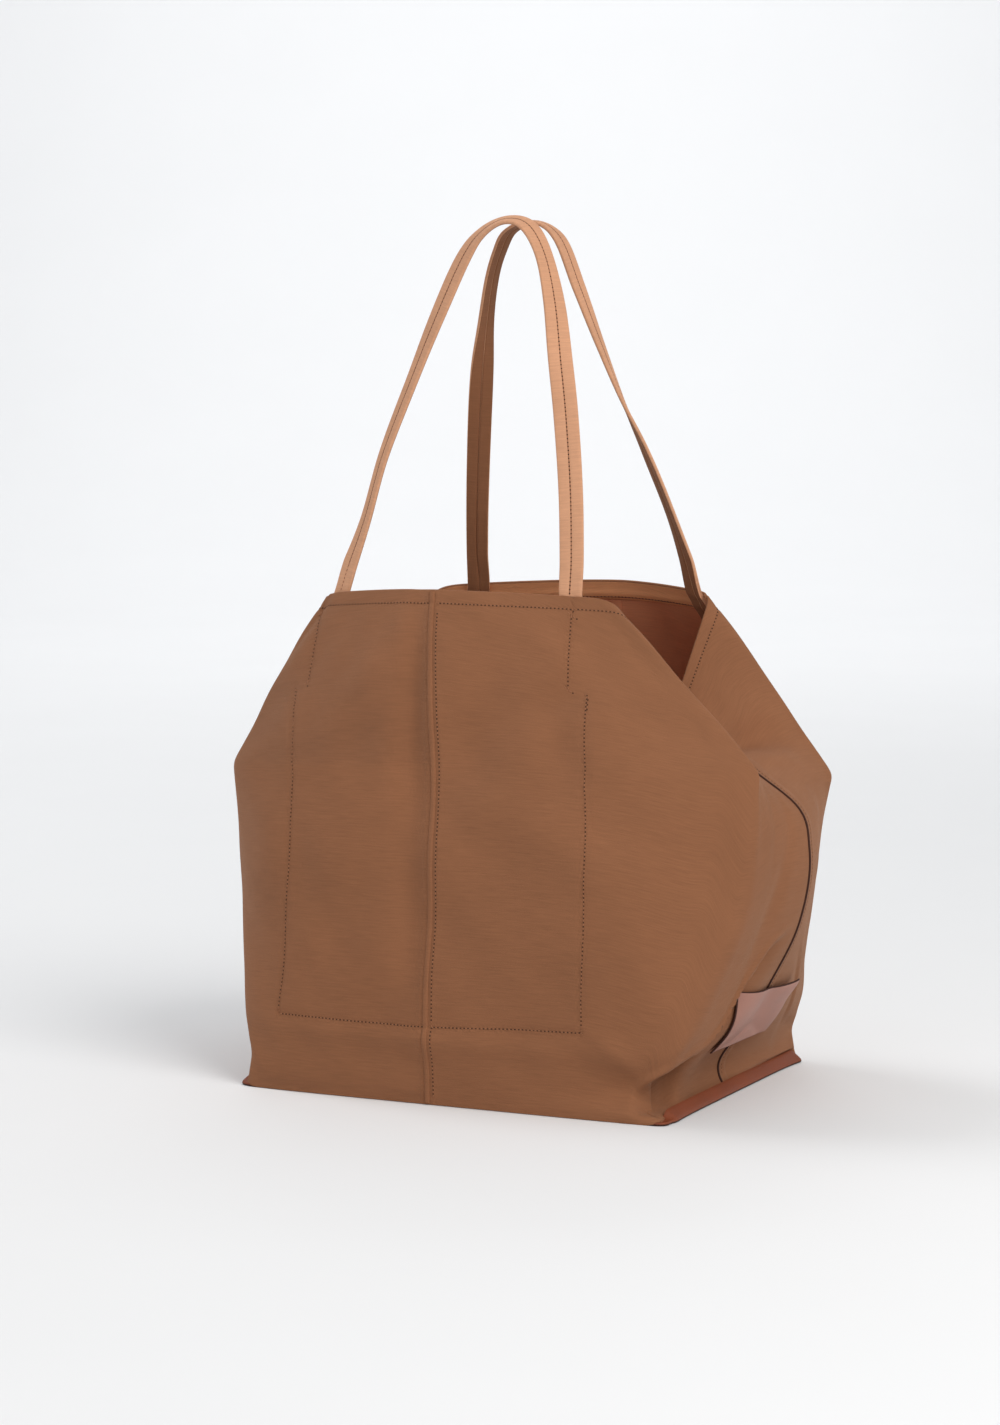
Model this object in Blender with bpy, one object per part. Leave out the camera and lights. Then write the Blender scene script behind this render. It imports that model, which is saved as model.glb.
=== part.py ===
"""Soft fabric shopper bag, standing on its base with both shoulder straps up.

The body is one ring of cloth that is rectangular at the floor, swells to a lens at
mid height and is tucked in at both ends of the mouth like a paper bag. Four panels
share that ring, joined by a welted seam at the middle of the front and the back and
by a lapped seam at each side. Everything sewn to the cloth takes its place from the
same ring: hems, pocket, strap tails and label.

Metres, +Z up, origin on the floor at the middle of the base. +X is the bag's right
side and -Y its front, as someone in front of the bag sees it.
"""
import math

import bmesh
import bpy
import numpy as np

# Body
BODY_HEIGHT = 0.405         # floor to the rim, at the front centre seam
BASE_LENGTH = 0.366         # left to right at the floor, cloth only
BASE_DEPTH = 0.300          # front to back at the floor
CLOTH = 0.0014              # bonded canvas, face and back together
HEM_CLOTH = 0.0010          # a single turned layer
GAP = 0.0003                # between pieces that touch

# Seams
WELT_THICKNESS = 0.0011
LAP_THICKNESS = 0.0010

# Base
OUTSOLE_THICKNESS = 0.0030
OUTSOLE_DEPTH = 0.290       # front to back, just behind the cloth walls
LIP = 0.0045                # leather that shows beyond the cloth at the short sides
OUTSOLE_CORNER = 0.008
CORNER_STEPS = 4            # facets round each corner of a plate
BOARD_THICKNESS = 0.0020
BOARD_MARGIN = 0.016        # board edge to the cloth walls
LINING_THICKNESS = 0.0010
FLOOR_CLEARANCE = 0.0005    # cloth edge above the floor

# Pocket inside the front
POCKET_CLOTH = 0.0010
POCKET_BELLY = 0.017        # how far its mouth hangs open
POCKET_ACROSS_POWER = 0.8   # roundness of the open mouth, left to right
POCKET_RISE_POWER = 1.5     # how late it opens on the way up

# Label at the foot of the right side seam
LABEL_THICKNESS = 0.0016
LABEL_STEPS = 7             # points along each side of its grid

# Straps
STRAP_WIDTH = 0.020
STRAP_THICKNESS = 0.0030
STRAP_BEVEL = 0.0007
STRAP_SLIT = 0.0012         # where the folded edges meet on the inner face
STRAP_SLIT_DEPTH = 0.0006
STRAP_RISE = 0.298          # rim to the middle of the crown
TAIL_LENGTH = 0.072         # sewn inside, below the rim
CROWN_OFFSET = 0.0125       # crown of each strap, before or behind the middle plane
STRAP_RINGS = 45
TAIL_RINGS = 8
TAIL_COLUMNS = 5
HINGE_OUT = 0.0020          # line a strap turns about, outwards from the middle of the wall
HINGE_UP = 0.0010           # and above the rim

HALF_LENGTH = BASE_LENGTH / 2
HALF_DEPTH = BASE_DEPTH / 2
SIZE = np.array((HALF_LENGTH, HALF_DEPTH, BODY_HEIGHT))

# The level of the body where the tucked mouth begins; levels run from 0 at the floor to 1 at the rim
EDGE_LEVEL_SHARE = 0.66

# Front and back centre seams: level, sideways, outwards
CENTRE_SHARES = (
    (0.00, 0.093, 1.000), (0.08, 0.093, 1.003), (0.20, 0.098, 1.003), (0.35, 0.090, 0.995),
    (0.50, 0.093, 0.967), (0.65, 0.120, 0.893), (0.80, 0.164, 0.793), (0.90, 0.197, 0.700),
    (1.00, 0.235, 0.593),
)
# Corner line of the wall, floor to elbow: level, sideways, outwards, up
CORNER_SHARES = (
    (0.00, 1.000, 0.980, 0.000), (0.03, 1.000, 0.970, 0.030), (0.08, 1.000, 0.940, 0.080),
    (0.16, 1.044, 0.853, 0.160), (0.23, 1.093, 0.780, 0.230), (0.36, 1.175, 0.660, 0.360),
    (0.50, 1.235, 0.593, 0.495),
)
# Side seam, floor to ledge: level, sideways, towards its own face, up
SIDE_SHARES = (
    (0.00, 0.985, 0.000, 0.000), (0.05, 0.934, 0.000, 0.050), (0.09, 0.967, 0.000, 0.090),
    (0.16, 1.055, 0.000, 0.160), (0.22, 1.158, 0.000, 0.220), (0.36, 1.328, 0.053, 0.360),
    (0.50, 1.388, 0.120, 0.504), (0.60, 1.328, 0.133, 0.593), (0.66, 1.186, 0.120, 0.647),
)
# Side seam in the tuck, ledge to the bottom of the mouth's notch
TUCK_SHARES = ((0.66, 1.186, 0.120, 0.647), (0.80, 0.995, 0.067, 0.694), (1.00, 0.710, 0.000, 0.753))
# How boxy a wall is from its centre seam to its corner line: level, power
BOX_SHARES = ((0.00, 6.0), (0.22, 6.0), (0.38, 5.0), (0.50, 4.2), (0.66, 2.2), (0.80, 1.6), (1.00, 1.2))
# How late a wall's rows drop from its centre seam to its corner line
DROP_POWER = 1.6
# How far the side wall swells between corner line and side seam: level, outwards
SWELL_SHARES = (
    (0.00, 0.000), (0.05, 0.005), (0.09, 0.022), (0.16, 0.050), (0.22, 0.050), (0.36, 0.027),
    (0.50, 0.033), (0.60, 0.016), (0.66, 0.000), (0.80, -0.022), (1.00, 0.000),
)
# Each quarter: side, face, elbow and rim corner as shares of half length, half depth and height
QUARTERS = {
    "front_right": (1, -1, (1.262, 0.533, 0.669), (0.585, 0.473, 0.980)),
    "back_right": (1, 1, (1.273, 0.547, 0.622), (0.754, 0.420, 0.983)),
    "back_left": (-1, 1, (1.257, 0.533, 0.642), (0.645, 0.467, 0.980)),
    "front_left": (-1, -1, (1.235, 0.533, 0.630), (0.858, 0.413, 0.980)),
}
RING = tuple(QUARTERS)
# The base corner nearest the label is pushed in above the floor: level, depth of the dent
DENT_SHARES = ((0.00, 0.000), (0.02, 0.000), (0.045, 0.085), (0.08, 0.080), (0.12, 0.035), (0.17, 0.000),
               (1.00, 0.000))
DENT_WIDTH_SHARE = 0.35
# Reach of the rounding at folds, in ring and level coordinates
ROUND_SHARES = (0.045, 0.012)

# Ring distance over which the wall's bottom edge steps up onto the leather
EDGE_RAMP_SHARE = 0.06

TINY_SHARE = 1e-6
# Folds sharper than this are shaded as edges
SHARP_ANGLE = math.radians(35)
# Columns of a quarter, from its centre seam to its corner line and on to its side seam
FACE_STEP_SHARES = (0.0, 0.0155, 0.22, 0.43, 0.64, 0.78, 0.87, 0.94, 1.0)
SIDE_STEP_SHARES = (0.07, 0.20, 0.40, 0.60, 0.80, 0.962, 1.0)
# Levels of every wall
LEVEL_SHARES = (0.0, 0.02, 0.045, 0.08, 0.12, 0.16, 0.22, 0.30, 0.40, 0.50, 0.58, 0.63, 0.66, 0.69, 0.74,
                0.79, 0.88, 0.963, 0.99, 1.0)

# Pocket outline on the front wall: left, right (ring coordinate from the seam), bottom, mouth
POCKET_SHARES = (-0.78, 0.64, 0.16, 0.79)
POCKET_HEM_SHARE = 0.74
# Label corners on the right side wall: round the ring from the side seam, level
LABEL_SHARES = ((-0.47, 0.225), (0.47, 0.217), (0.39, 0.112), (-0.38, 0.100))

# Strap feet along the rim, from the centre seam to the rim corner
NEAR_FOOT_SHARE = 0.760     # the foot on the wider half of the wall
FAR_FOOT_SHARE = 0.850
# Loop of each strap from its far foot to its near one: across, up
FRONT_LOOP_SHARES = (
    (0.000, 0.00), (0.087, 0.186), (0.150, 0.374), (0.252, 0.582), (0.333, 0.74), (0.427, 0.90),
    (0.502, 0.97), (0.598, 1.00), (0.690, 0.982), (0.765, 0.905), (0.824, 0.78), (0.870, 0.626),
    (0.916, 0.465), (0.964, 0.25), (1.000, 0.00),
)
BACK_LOOP_SHARES = (
    (0.000, 0.00), (0.090, 0.206), (0.188, 0.384), (0.275, 0.522), (0.357, 0.676), (0.430, 0.824),
    (0.500, 0.955), (0.603, 1.00), (0.712, 0.978), (0.768, 0.925), (0.820, 0.837), (0.871, 0.686),
    (0.917, 0.495), (0.968, 0.226), (1.000, 0.00),
)
# Direction of the outer face along each loop: way along, x, y, z
FRONT_FACING_SHARES = (
    (0.00, -0.10, -0.97, 0.20), (0.06, -0.50, -0.83, 0.20), (0.20, -0.50, -0.80, 0.30),
    (0.33, -0.25, -0.90, 0.30), (0.44, -0.10, -0.65, 0.75), (0.52, 0.00, -0.50, 0.87),
    (0.62, 0.30, -0.70, 0.65), (0.80, 0.10, -1.00, 0.05), (1.00, 0.05, -0.97, 0.20),
)
BACK_FACING_SHARES = (
    (0.00, 0.10, 0.97, 0.20), (0.05, 0.45, 0.88, 0.20), (0.12, 0.85, 0.50, 0.20),
    (0.20, 0.95, 0.05, 0.25), (0.30, 0.80, -0.40, 0.40), (0.40, 0.60, -0.40, 0.65),
    (0.50, 0.15, -0.30, 0.90), (0.62, -0.35, 0.10, 0.90), (0.72, -0.60, 0.60, 0.50),
    (0.85, -0.20, 0.95, 0.15), (1.00, -0.05, 0.97, 0.20),
)

# Colours and surface values: base colour, roughness
CLOTH_FINISH = ((0.330, 0.160, 0.085, 1.0), 0.85)
LINING_FINISH = ((0.230, 0.075, 0.040, 1.0), 0.80)
LEATHER_FINISH = ((0.420, 0.130, 0.055, 1.0), 0.45)
LABEL_FINISH = ((0.360, 0.190, 0.160, 1.0), 0.50)
BOARD_FINISH = ((0.220, 0.180, 0.140, 1.0), 0.90)


def clear_scene():
    for item in list(bpy.data.objects):
        bpy.data.objects.remove(item, do_unlink=True)


def read_curve(table, at):
    """Smooth curve through a table whose first column is the place along it."""
    rows = np.array(table, float)
    place, value = rows[:, 0], rows[:, 1:]
    at = np.asarray(at, float)
    slope = np.gradient(value, place, axis=0)
    i = np.clip(np.searchsorted(place, at, side="right") - 1, 0, len(place) - 2)
    step = place[i + 1] - place[i]
    k = np.clip((at - place[i]) / step, 0, 1)[..., None]
    step = step[..., None]
    return ((2 * k**3 - 3 * k**2 + 1) * value[i] + (k**3 - 2 * k**2 + k) * step * slope[i]
            + (3 * k**2 - 2 * k**3) * value[i + 1] + (k**3 - k**2) * step * slope[i + 1])


def corner_line(name, level):
    """The line where a quarter's wall turns to the side, then the tucked fold up to the rim."""
    elbow, rim = QUARTERS[name][2:]
    table = CORNER_SHARES + ((EDGE_LEVEL_SHARE,) + elbow,)
    low = read_curve(table, np.minimum(level, EDGE_LEVEL_SHARE))
    way = np.clip((level - EDGE_LEVEL_SHARE) / (1 - EDGE_LEVEL_SHARE), 0, 1)[..., None]
    return np.where(way > 0, np.array(elbow) * (1 - way) + np.array(rim) * way, low) * SIZE


def side_seam(name, level):
    """The side seam, with its slip towards the front on the right and the back on the left."""
    side = QUARTERS[name][0]
    low = read_curve(SIDE_SHARES, np.minimum(level, EDGE_LEVEL_SHARE))
    high = read_curve(TUCK_SHARES, np.maximum(level, EDGE_LEVEL_SHARE))
    line = np.where(level[..., None] > EDGE_LEVEL_SHARE, high, low) * SIZE
    return line * np.array((side, -side, 1))


def face_point(name, across, level):
    """A point of a wall, across from 0 at the centre seam to 1 at the corner line."""
    side, face = QUARTERS[name][:2]
    seam = read_curve(CENTRE_SHARES, level)
    seam_x = face * seam[..., 0] * HALF_LENGTH
    seam_y = seam[..., 1] * HALF_DEPTH
    corner = corner_line(name, level)
    power = read_curve(BOX_SHARES, level)[..., 0]
    fall = across**power
    x = seam_x + (side * corner[..., 0] - seam_x) * across
    y = face * (seam_y + (corner[..., 1] - seam_y) * fall)
    z = level * BODY_HEIGHT + (corner[..., 2] - level * BODY_HEIGHT) * across**DROP_POWER
    return np.stack((x, y, z), -1)


def side_point(name, across, level):
    """A point of a side wall, across from 0 at the corner line to 1 at the side seam."""
    side, face = QUARTERS[name][:2]
    corner = corner_line(name, level) * np.array((side, face, 1))
    seam = side_seam(name, level)
    swell = read_curve(SWELL_SHARES, level)[..., 0] * HALF_LENGTH
    point = corner + (seam - corner) * across[..., None]
    point[..., 0] += side * swell * 4 * across * (1 - across)
    return point


def raw_point(ring, level):
    """The body's middle surface: ring runs 0 to 8 from the front seam by the right side."""
    ring = np.mod(ring, 8)
    quarter = np.minimum(ring // 2, 3).astype(int)
    local = ring - 2 * quarter
    local = np.where(quarter % 2 == 1, 2 - local, local)
    point = np.zeros(ring.shape + (3,))
    for index, name in enumerate(RING):
        on_face = (quarter == index) & (local <= 1)
        on_side = (quarter == index) & (local > 1)
        point[on_face] = face_point(name, local[on_face], level[on_face])
        point[on_side] = side_point(name, local[on_side] - 1, level[on_side])
    return point + dent(ring, level)


def dent(ring, level):
    """The pushed-in corner, a smooth hollow round the front right corner line."""
    depth = read_curve(DENT_SHARES, level)[..., 0] * HALF_LENGTH
    depth = depth * np.exp(-((ring - 1) / DENT_WIDTH_SHARE) ** 2)
    direction = np.array((-1, 1, 0)) / math.sqrt(2)
    return depth[..., None] * direction


def mirrored_point(ring, level):
    """The surface carried straight on past the floor edge and the rim."""
    inside = np.clip(level, 0, 1)
    beyond = (level != inside)[..., None]
    other = raw_point(ring, 2 * inside - level)
    edge = raw_point(ring, inside)
    return np.where(beyond, 2 * edge - other, edge)


def body_point(ring, level):
    """The middle surface with its folds rounded: a weighted mean over nine near points."""
    ring, level = np.broadcast_arrays(np.asarray(ring, float), np.asarray(level, float))
    reach, rise = ROUND_SHARES
    total = 0
    for i, weight_i in ((-1, 1), (0, 2), (1, 1)):
        for j, weight_j in ((-1, 1), (0, 2), (1, 1)):
            total = total + weight_i * weight_j * mirrored_point(ring + i * reach, level + j * rise)
    return total / 16


def body_normal(ring, level):
    """Outward normal of the rounded surface, from differences either way."""
    reach, rise = ROUND_SHARES
    ring, level = np.broadcast_arrays(np.asarray(ring, float), np.asarray(level, float))
    along = body_point(ring + reach, level) - body_point(ring - reach, level)
    up = body_point(ring, level + rise) - body_point(ring, level - rise)
    normal = np.cross(along, up)
    return normal / np.linalg.norm(normal, axis=-1, keepdims=True)


def settle(point, ring):
    """Lift the wall's bottom edge: just off the floor, and onto the leather at the short sides."""
    local = np.abs(np.mod(ring, 4) - 2)
    on_leather = np.clip((1.0 - local) / EDGE_RAMP_SHARE + 1, 0, 1)
    least = FLOOR_CLEARANCE + on_leather * (OUTSOLE_THICKNESS + 2 * GAP - FLOOR_CLEARANCE)
    lifted = point.copy()
    lifted[..., 2] = np.maximum(point[..., 2], least)
    return lifted


class Wall:
    """The whole ring of cloth sampled once, so that all that lies on it shares its facets."""

    def __init__(self):
        steps = np.concatenate((FACE_STEP_SHARES, 1 + np.array(SIDE_STEP_SHARES)))
        quarter = np.concatenate((steps[:-1], 4 - steps[:0:-1]))
        self.columns = np.concatenate((quarter, quarter + 4, (8.0,)))
        self.levels = np.array(LEVEL_SHARES)
        ring, level = np.meshgrid(self.columns, self.levels)
        self.points = settle(body_point(ring, level), ring)
        self.normals = body_normal(ring, level)

    def between(self, low, high):
        """Columns from one ring coordinate to another, both included; low may be below 0."""
        every = np.concatenate((self.columns[:-1] - 8, self.columns))
        return every[(every > low - TINY_SHARE) & (every < high + TINY_SHARE)]

    def at(self, ring, level):
        """Points and normals on the facets, by straight interpolation both ways."""
        ring, level = np.broadcast_arrays(np.mod(np.asarray(ring, float), 8), np.asarray(level, float))
        c = np.clip(np.searchsorted(self.columns, ring, side="right") - 1, 0, len(self.columns) - 2)
        r = np.clip(np.searchsorted(self.levels, level, side="right") - 1, 0, len(self.levels) - 2)
        u = ((ring - self.columns[c]) / (self.columns[c + 1] - self.columns[c]))[..., None]
        v = ((level - self.levels[r]) / (self.levels[r + 1] - self.levels[r]))[..., None]

        def mix(grid):
            return ((grid[r, c] * (1 - u) + grid[r, c + 1] * u) * (1 - v)
                    + (grid[r + 1, c] * (1 - u) + grid[r + 1, c + 1] * u) * v)

        return mix(self.points), unit(mix(self.normals))


def finish_material(name, finish):
    colour, roughness = finish
    material = bpy.data.materials.get(name) or bpy.data.materials.new(name)
    material.use_nodes = True
    shader = material.node_tree.nodes["Principled BSDF"]
    shader.inputs["Base Color"].default_value = colour
    shader.inputs["Roughness"].default_value = roughness
    shader.inputs["Metallic"].default_value = 0.0
    return material


def make_object(name, verts, faces, material):
    mesh = bpy.data.meshes.new(name)
    mesh.from_pydata([tuple(map(float, v)) for v in verts], [], faces)
    body = bmesh.new()
    body.from_mesh(mesh)
    bmesh.ops.recalc_face_normals(body, faces=body.faces)
    bmesh.ops.triangulate(body, faces=body.faces)
    body.to_mesh(mesh)
    body.free()
    mesh.shade_smooth()
    mesh.set_sharp_from_angle(angle=SHARP_ANGLE)
    item = bpy.data.objects.new(name, mesh)
    item.data.materials.append(material)
    bpy.context.collection.objects.link(item)
    return item


def sheet_solid(name, outer, inner, material):
    """A closed sheet between two grids of points of the same size."""
    rows, cols = outer.shape[:2]
    count = rows * cols
    verts = np.concatenate((outer.reshape(-1, 3), inner.reshape(-1, 3)))
    faces = []
    for r in range(rows - 1):
        for c in range(cols - 1):
            a = r * cols + c
            faces.append((a, a + 1, a + cols + 1, a + cols))
            faces.append((count + a, count + a + cols, count + a + cols + 1, count + a + 1))
    border = list(range(cols))
    border += [r * cols + cols - 1 for r in range(1, rows)]
    border += [(rows - 1) * cols + c for c in range(cols - 2, -1, -1)]
    border += [r * cols for r in range(rows - 2, 0, -1)]
    for a, b in zip(border, border[1:] + border[:1]):
        faces.append((a, count + a, count + b, b))
    return make_object(name, verts, faces, material)


def ribbon_rings(path, across, up, section):
    """A section carried along a path; across and up are unit vectors at each point."""
    section = np.array(section)
    return path[:, None] + across[:, None] * section[:, :1] + up[:, None] * section[:, 1:]


def ribbon_solid(name, rings, material):
    """A closed band through rings of points, with flat ends."""
    length, count = rings.shape[:2]
    faces = []
    for r in range(length - 1):
        for c in range(count):
            a, b = r * count + c, r * count + (c + 1) % count
            faces.append((a, b, b + count, a + count))
    faces.append(tuple(range(count))[::-1])
    faces.append(tuple(range((length - 1) * count, length * count)))
    return make_object(name, rings.reshape(-1, 3), faces, material)


def unit(vector):
    return vector / np.linalg.norm(vector, axis=-1, keepdims=True)


def panel(wall, name, material):
    """One quarter of the body, its two seam edges drawn back by half a gap."""
    index = RING.index(name)
    ring, level = np.meshgrid(wall.between(2 * index, 2 * index + 2), wall.levels)
    at = np.clip(ring, 0, 8 - TINY_SHARE)
    middle, normal = wall.at(at, level)
    middle[:, 0] += unit(middle[:, 1] - middle[:, 0]) * GAP / 2
    middle[:, -1] += unit(middle[:, -2] - middle[:, -1]) * GAP / 2
    face, side = name.split("_")
    return sheet_solid(f"{face}_panel_{side}", middle + normal * CLOTH / 2, middle - normal * CLOTH / 2,
                       material)


def rim_hem(wall, name, middle_ring, material):
    """The turned hem inside the rim, from one notch round the face to the other."""
    ring, level = np.meshgrid(wall.between(middle_ring - 2, middle_ring + 2), wall.levels[-3:])
    middle, normal = wall.at(ring, level)
    middle[:, 0] += unit(middle[:, 1] - middle[:, 0]) * GAP / 2
    middle[:, -1] += unit(middle[:, -2] - middle[:, -1]) * GAP / 2
    near = CLOTH / 2 + GAP
    return sheet_solid(name, middle - normal * near, middle - normal * (near + HEM_CLOTH), material)


def seam_strip(wall, name, ring, thickness, material):
    """A strip laid on the outside of the cloth along a seam, as wide as the columns beside it."""
    near = wall.columns[np.searchsorted(wall.columns, ring) + 1] - ring
    ring, level = np.meshgrid((ring - near, ring, ring + near), wall.levels[1:-1])
    middle, normal = wall.at(ring, level)
    low = CLOTH / 2 + GAP
    return sheet_solid(name, middle + normal * (low + thickness), middle + normal * low, material)


def inner_pocket(wall, material):
    """A patch pocket on the inside of the front, sewn on three sides, its mouth hanging open."""
    left, right, low, mouth = POCKET_SHARES
    columns = wall.between(left, right)
    levels = wall.levels[(wall.levels > low - TINY_SHARE) & (wall.levels < mouth + TINY_SHARE)]

    def layer(ring, level, depth):
        across = (ring - left) / (right - left)
        rise = (level - low) / (mouth - low)
        bow = np.maximum(np.sin(math.pi * across), 0) ** POCKET_ACROSS_POWER
        belly = POCKET_BELLY * bow * np.maximum(rise, 0) ** POCKET_RISE_POWER
        middle, normal = wall.at(ring, level)
        return middle - normal * (CLOTH / 2 + GAP + depth + belly)[..., None]

    ring, level = np.meshgrid(columns, levels)
    sheet_solid("inner_pocket", layer(ring, level, 0), layer(ring, level, POCKET_CLOTH), material)
    ring, level = np.meshgrid(columns[1:-1], levels[levels > POCKET_HEM_SHARE - TINY_SHARE])
    near = POCKET_CLOTH + GAP
    sheet_solid("inner_pocket_hem", layer(ring, level, near), layer(ring, level, near + HEM_CLOTH), material)


def label_patch(wall, material):
    """A stiff leather patch over the foot of the right side seam."""
    corners = np.array(LABEL_SHARES)
    across, down = np.meshgrid(*[np.linspace(0, 1, LABEL_STEPS)] * 2)
    top = corners[0] + (corners[1] - corners[0]) * across[..., None]
    bottom = corners[3] + (corners[2] - corners[3]) * across[..., None]
    place = top + (bottom - top) * down[..., None]
    middle, normal = wall.at(2 + place[..., 0], place[..., 1])
    inner = middle + normal * (CLOTH / 2 + GAP + LAP_THICKNESS + GAP)
    return sheet_solid("label_patch", inner + normal * LABEL_THICKNESS, inner, material)


def rounded_plate(name, length, depth, corner, low, thickness, material):
    """A flat plate with round corners."""
    verts = []
    for turn in range(4):
        cx = (length / 2 - corner) * (1 if turn in (0, 3) else -1)
        cy = (depth / 2 - corner) * (1 if turn in (0, 1) else -1)
        for step in range(CORNER_STEPS + 1):
            angle = math.pi / 2 * (turn + step / CORNER_STEPS)
            verts.append((cx + corner * math.cos(angle), cy + corner * math.sin(angle)))
    count = len(verts)
    points = [(x, y, low) for x, y in verts] + [(x, y, low + thickness) for x, y in verts]
    faces = [tuple(range(count))[::-1], tuple(range(count, 2 * count))]
    faces += [(i, (i + 1) % count, count + (i + 1) % count, count + i) for i in range(count)]
    return make_object(name, points, faces, material)


def base(leather, board, lining):
    rounded_plate("base_panel", BASE_LENGTH + 2 * LIP, OUTSOLE_DEPTH, OUTSOLE_CORNER, 0, OUTSOLE_THICKNESS,
                  leather)
    low = OUTSOLE_THICKNESS + GAP
    rounded_plate("base_board", BASE_LENGTH - 2 * BOARD_MARGIN, BASE_DEPTH - 2 * BOARD_MARGIN,
                  OUTSOLE_CORNER, low, BOARD_THICKNESS, board)
    low += BOARD_THICKNESS + GAP
    rounded_plate("base_lining", BASE_LENGTH - 2 * BOARD_MARGIN, BASE_DEPTH - 2 * BOARD_MARGIN,
                  OUTSOLE_CORNER, low, LINING_THICKNESS, lining)


def strap_section():
    """Flat outer face, eased edges, and a slit on the inner face where the folds meet."""
    w, t, b = STRAP_WIDTH / 2, STRAP_THICKNESS / 2, STRAP_BEVEL
    s, d = STRAP_SLIT / 2, STRAP_SLIT_DEPTH
    return ((-w + b, t), (-w, t - b), (-w, -t + b), (-w + b, -t), (-s, -t), (0, -t + d), (s, -t),
            (w - b, -t), (w, -t + b), (w, t - b), (w - b, t))


def strap_feet(face):
    """Ring coordinates of a strap's feet: the far one by the narrow corner, then the near one."""
    seam = 8 if face < 0 else 4
    return seam - FAR_FOOT_SHARE, seam % 8 + NEAR_FOOT_SHARE


def strap_hinge(wall, face):
    """A point on the line that a strap turns about, over the rim between its feet."""
    feet = wall.at(np.array(strap_feet(face)), 1.0)[0]
    return feet.mean(axis=0) + np.array((0, face * HINGE_OUT, HINGE_UP))


def strap_inset():
    """Middle of the strap's thickness, inwards from the middle of the wall."""
    return CLOTH / 2 + GAP + HEM_CLOTH + GAP + STRAP_THICKNESS / 2


def strap(wall, name, face, loop, facing, material):
    """One shoulder strap: a flat band in a tall loop, twisting from the wall to the crown."""
    feet = wall.at(np.array(strap_feet(face)), 1.0)[0]
    axis = unit(feet[1] - feet[0])
    inward = np.array((0, -face, 0)) - axis * np.dot((0, -face, 0), axis)
    heights = feet[:, 2]
    feet = feet + unit(inward) * strap_inset()
    table = np.column_stack((np.linspace(0, 1, len(loop)), loop))
    fine = np.linspace(0, 1, STRAP_RINGS)
    across, rise = read_curve(table, fine).T
    path = feet[0] + (feet[1] - feet[0]) * across[:, None]
    path[:, 2] += STRAP_RISE * rise
    path[:, 1] += (face * CROWN_OFFSET - path[:, 1]) * rise
    along = unit(np.gradient(path, axis=0))
    out = read_curve(facing, fine)
    out = unit(out - along * np.sum(out * along, -1, keepdims=True))
    rings = ribbon_rings(path, np.cross(along, out), out, strap_section())
    rings[0, :, 2], rings[-1, :, 2] = heights
    hinge = strap_hinge(wall, face)
    item = ribbon_solid(name, rings - hinge, material)
    item.location = hinge
    return item


def strap_tail(wall, name, foot, material):
    """The end of a strap, sewn flat inside the wall below the rim and bending with it."""
    level = 1 - np.linspace(GAP, TAIL_LENGTH, TAIL_RINGS) / BODY_HEIGHT
    reach = np.full(level.shape, TINY_SHARE)
    length = np.linalg.norm(wall.at(foot + reach, level)[0] - wall.at(foot - reach, level)[0], axis=-1)
    half_ring = STRAP_WIDTH / 2 / (length / (2 * TINY_SHARE))
    across, level = np.meshgrid(np.linspace(-1, 1, TAIL_COLUMNS), level)
    middle, normal = wall.at(foot + across * half_ring[:, None], level)
    near = strap_inset() - STRAP_THICKNESS / 2
    return sheet_solid(name, middle - normal * near, middle - normal * (near + STRAP_THICKNESS), material)


def build():
    clear_scene()
    cloth = finish_material("tan_canvas", CLOTH_FINISH)
    lining = finish_material("russet_canvas_back", LINING_FINISH)
    leather = finish_material("cognac_leather", LEATHER_FINISH)
    label = finish_material("rose_leather", LABEL_FINISH)
    board = finish_material("base_board_fibre", BOARD_FINISH)
    wall = Wall()
    for name in RING:
        panel(wall, name, cloth)
    rim_hem(wall, "front_rim_hem", 0, cloth)
    rim_hem(wall, "back_rim_hem", 4, cloth)
    seam_strip(wall, "front_centre_welt", 0, WELT_THICKNESS, cloth)
    seam_strip(wall, "back_centre_welt", 4, WELT_THICKNESS, cloth)
    seam_strip(wall, "side_seam_lap_right", 2, LAP_THICKNESS, cloth)
    seam_strip(wall, "side_seam_lap_left", 6, LAP_THICKNESS, cloth)
    inner_pocket(wall, lining)
    label_patch(wall, label)
    base(leather, board, lining)
    makes = ((-1, "front", FRONT_LOOP_SHARES, FRONT_FACING_SHARES),
             (1, "back", BACK_LOOP_SHARES, BACK_FACING_SHARES))
    for face, word, loop, facing in makes:
        strap(wall, f"{word}_strap", face, loop, facing, cloth)
        far, near = strap_feet(face)
        left, right = (far, near) if face < 0 else (near, far)
        strap_tail(wall, f"{word}_strap_tail_left", left, cloth)
        strap_tail(wall, f"{word}_strap_tail_right", right, cloth)


build()
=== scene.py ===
"""Looks of a soft canvas shopper bag that stands with both shoulder straps up.

The body is one ring of cloth. Two numbers name a place on it: the ring coordinate, from 0 at
the front centre seam through 2 at the right side seam, 4 at the back and 6 at the left to 8,
and the level, from 0 at the floor to 1 at the rim. All sewn pieces and stitches are placed
with these two numbers. Lengths are metres, +Z is up, the front is -Y.
"""
import math

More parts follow.
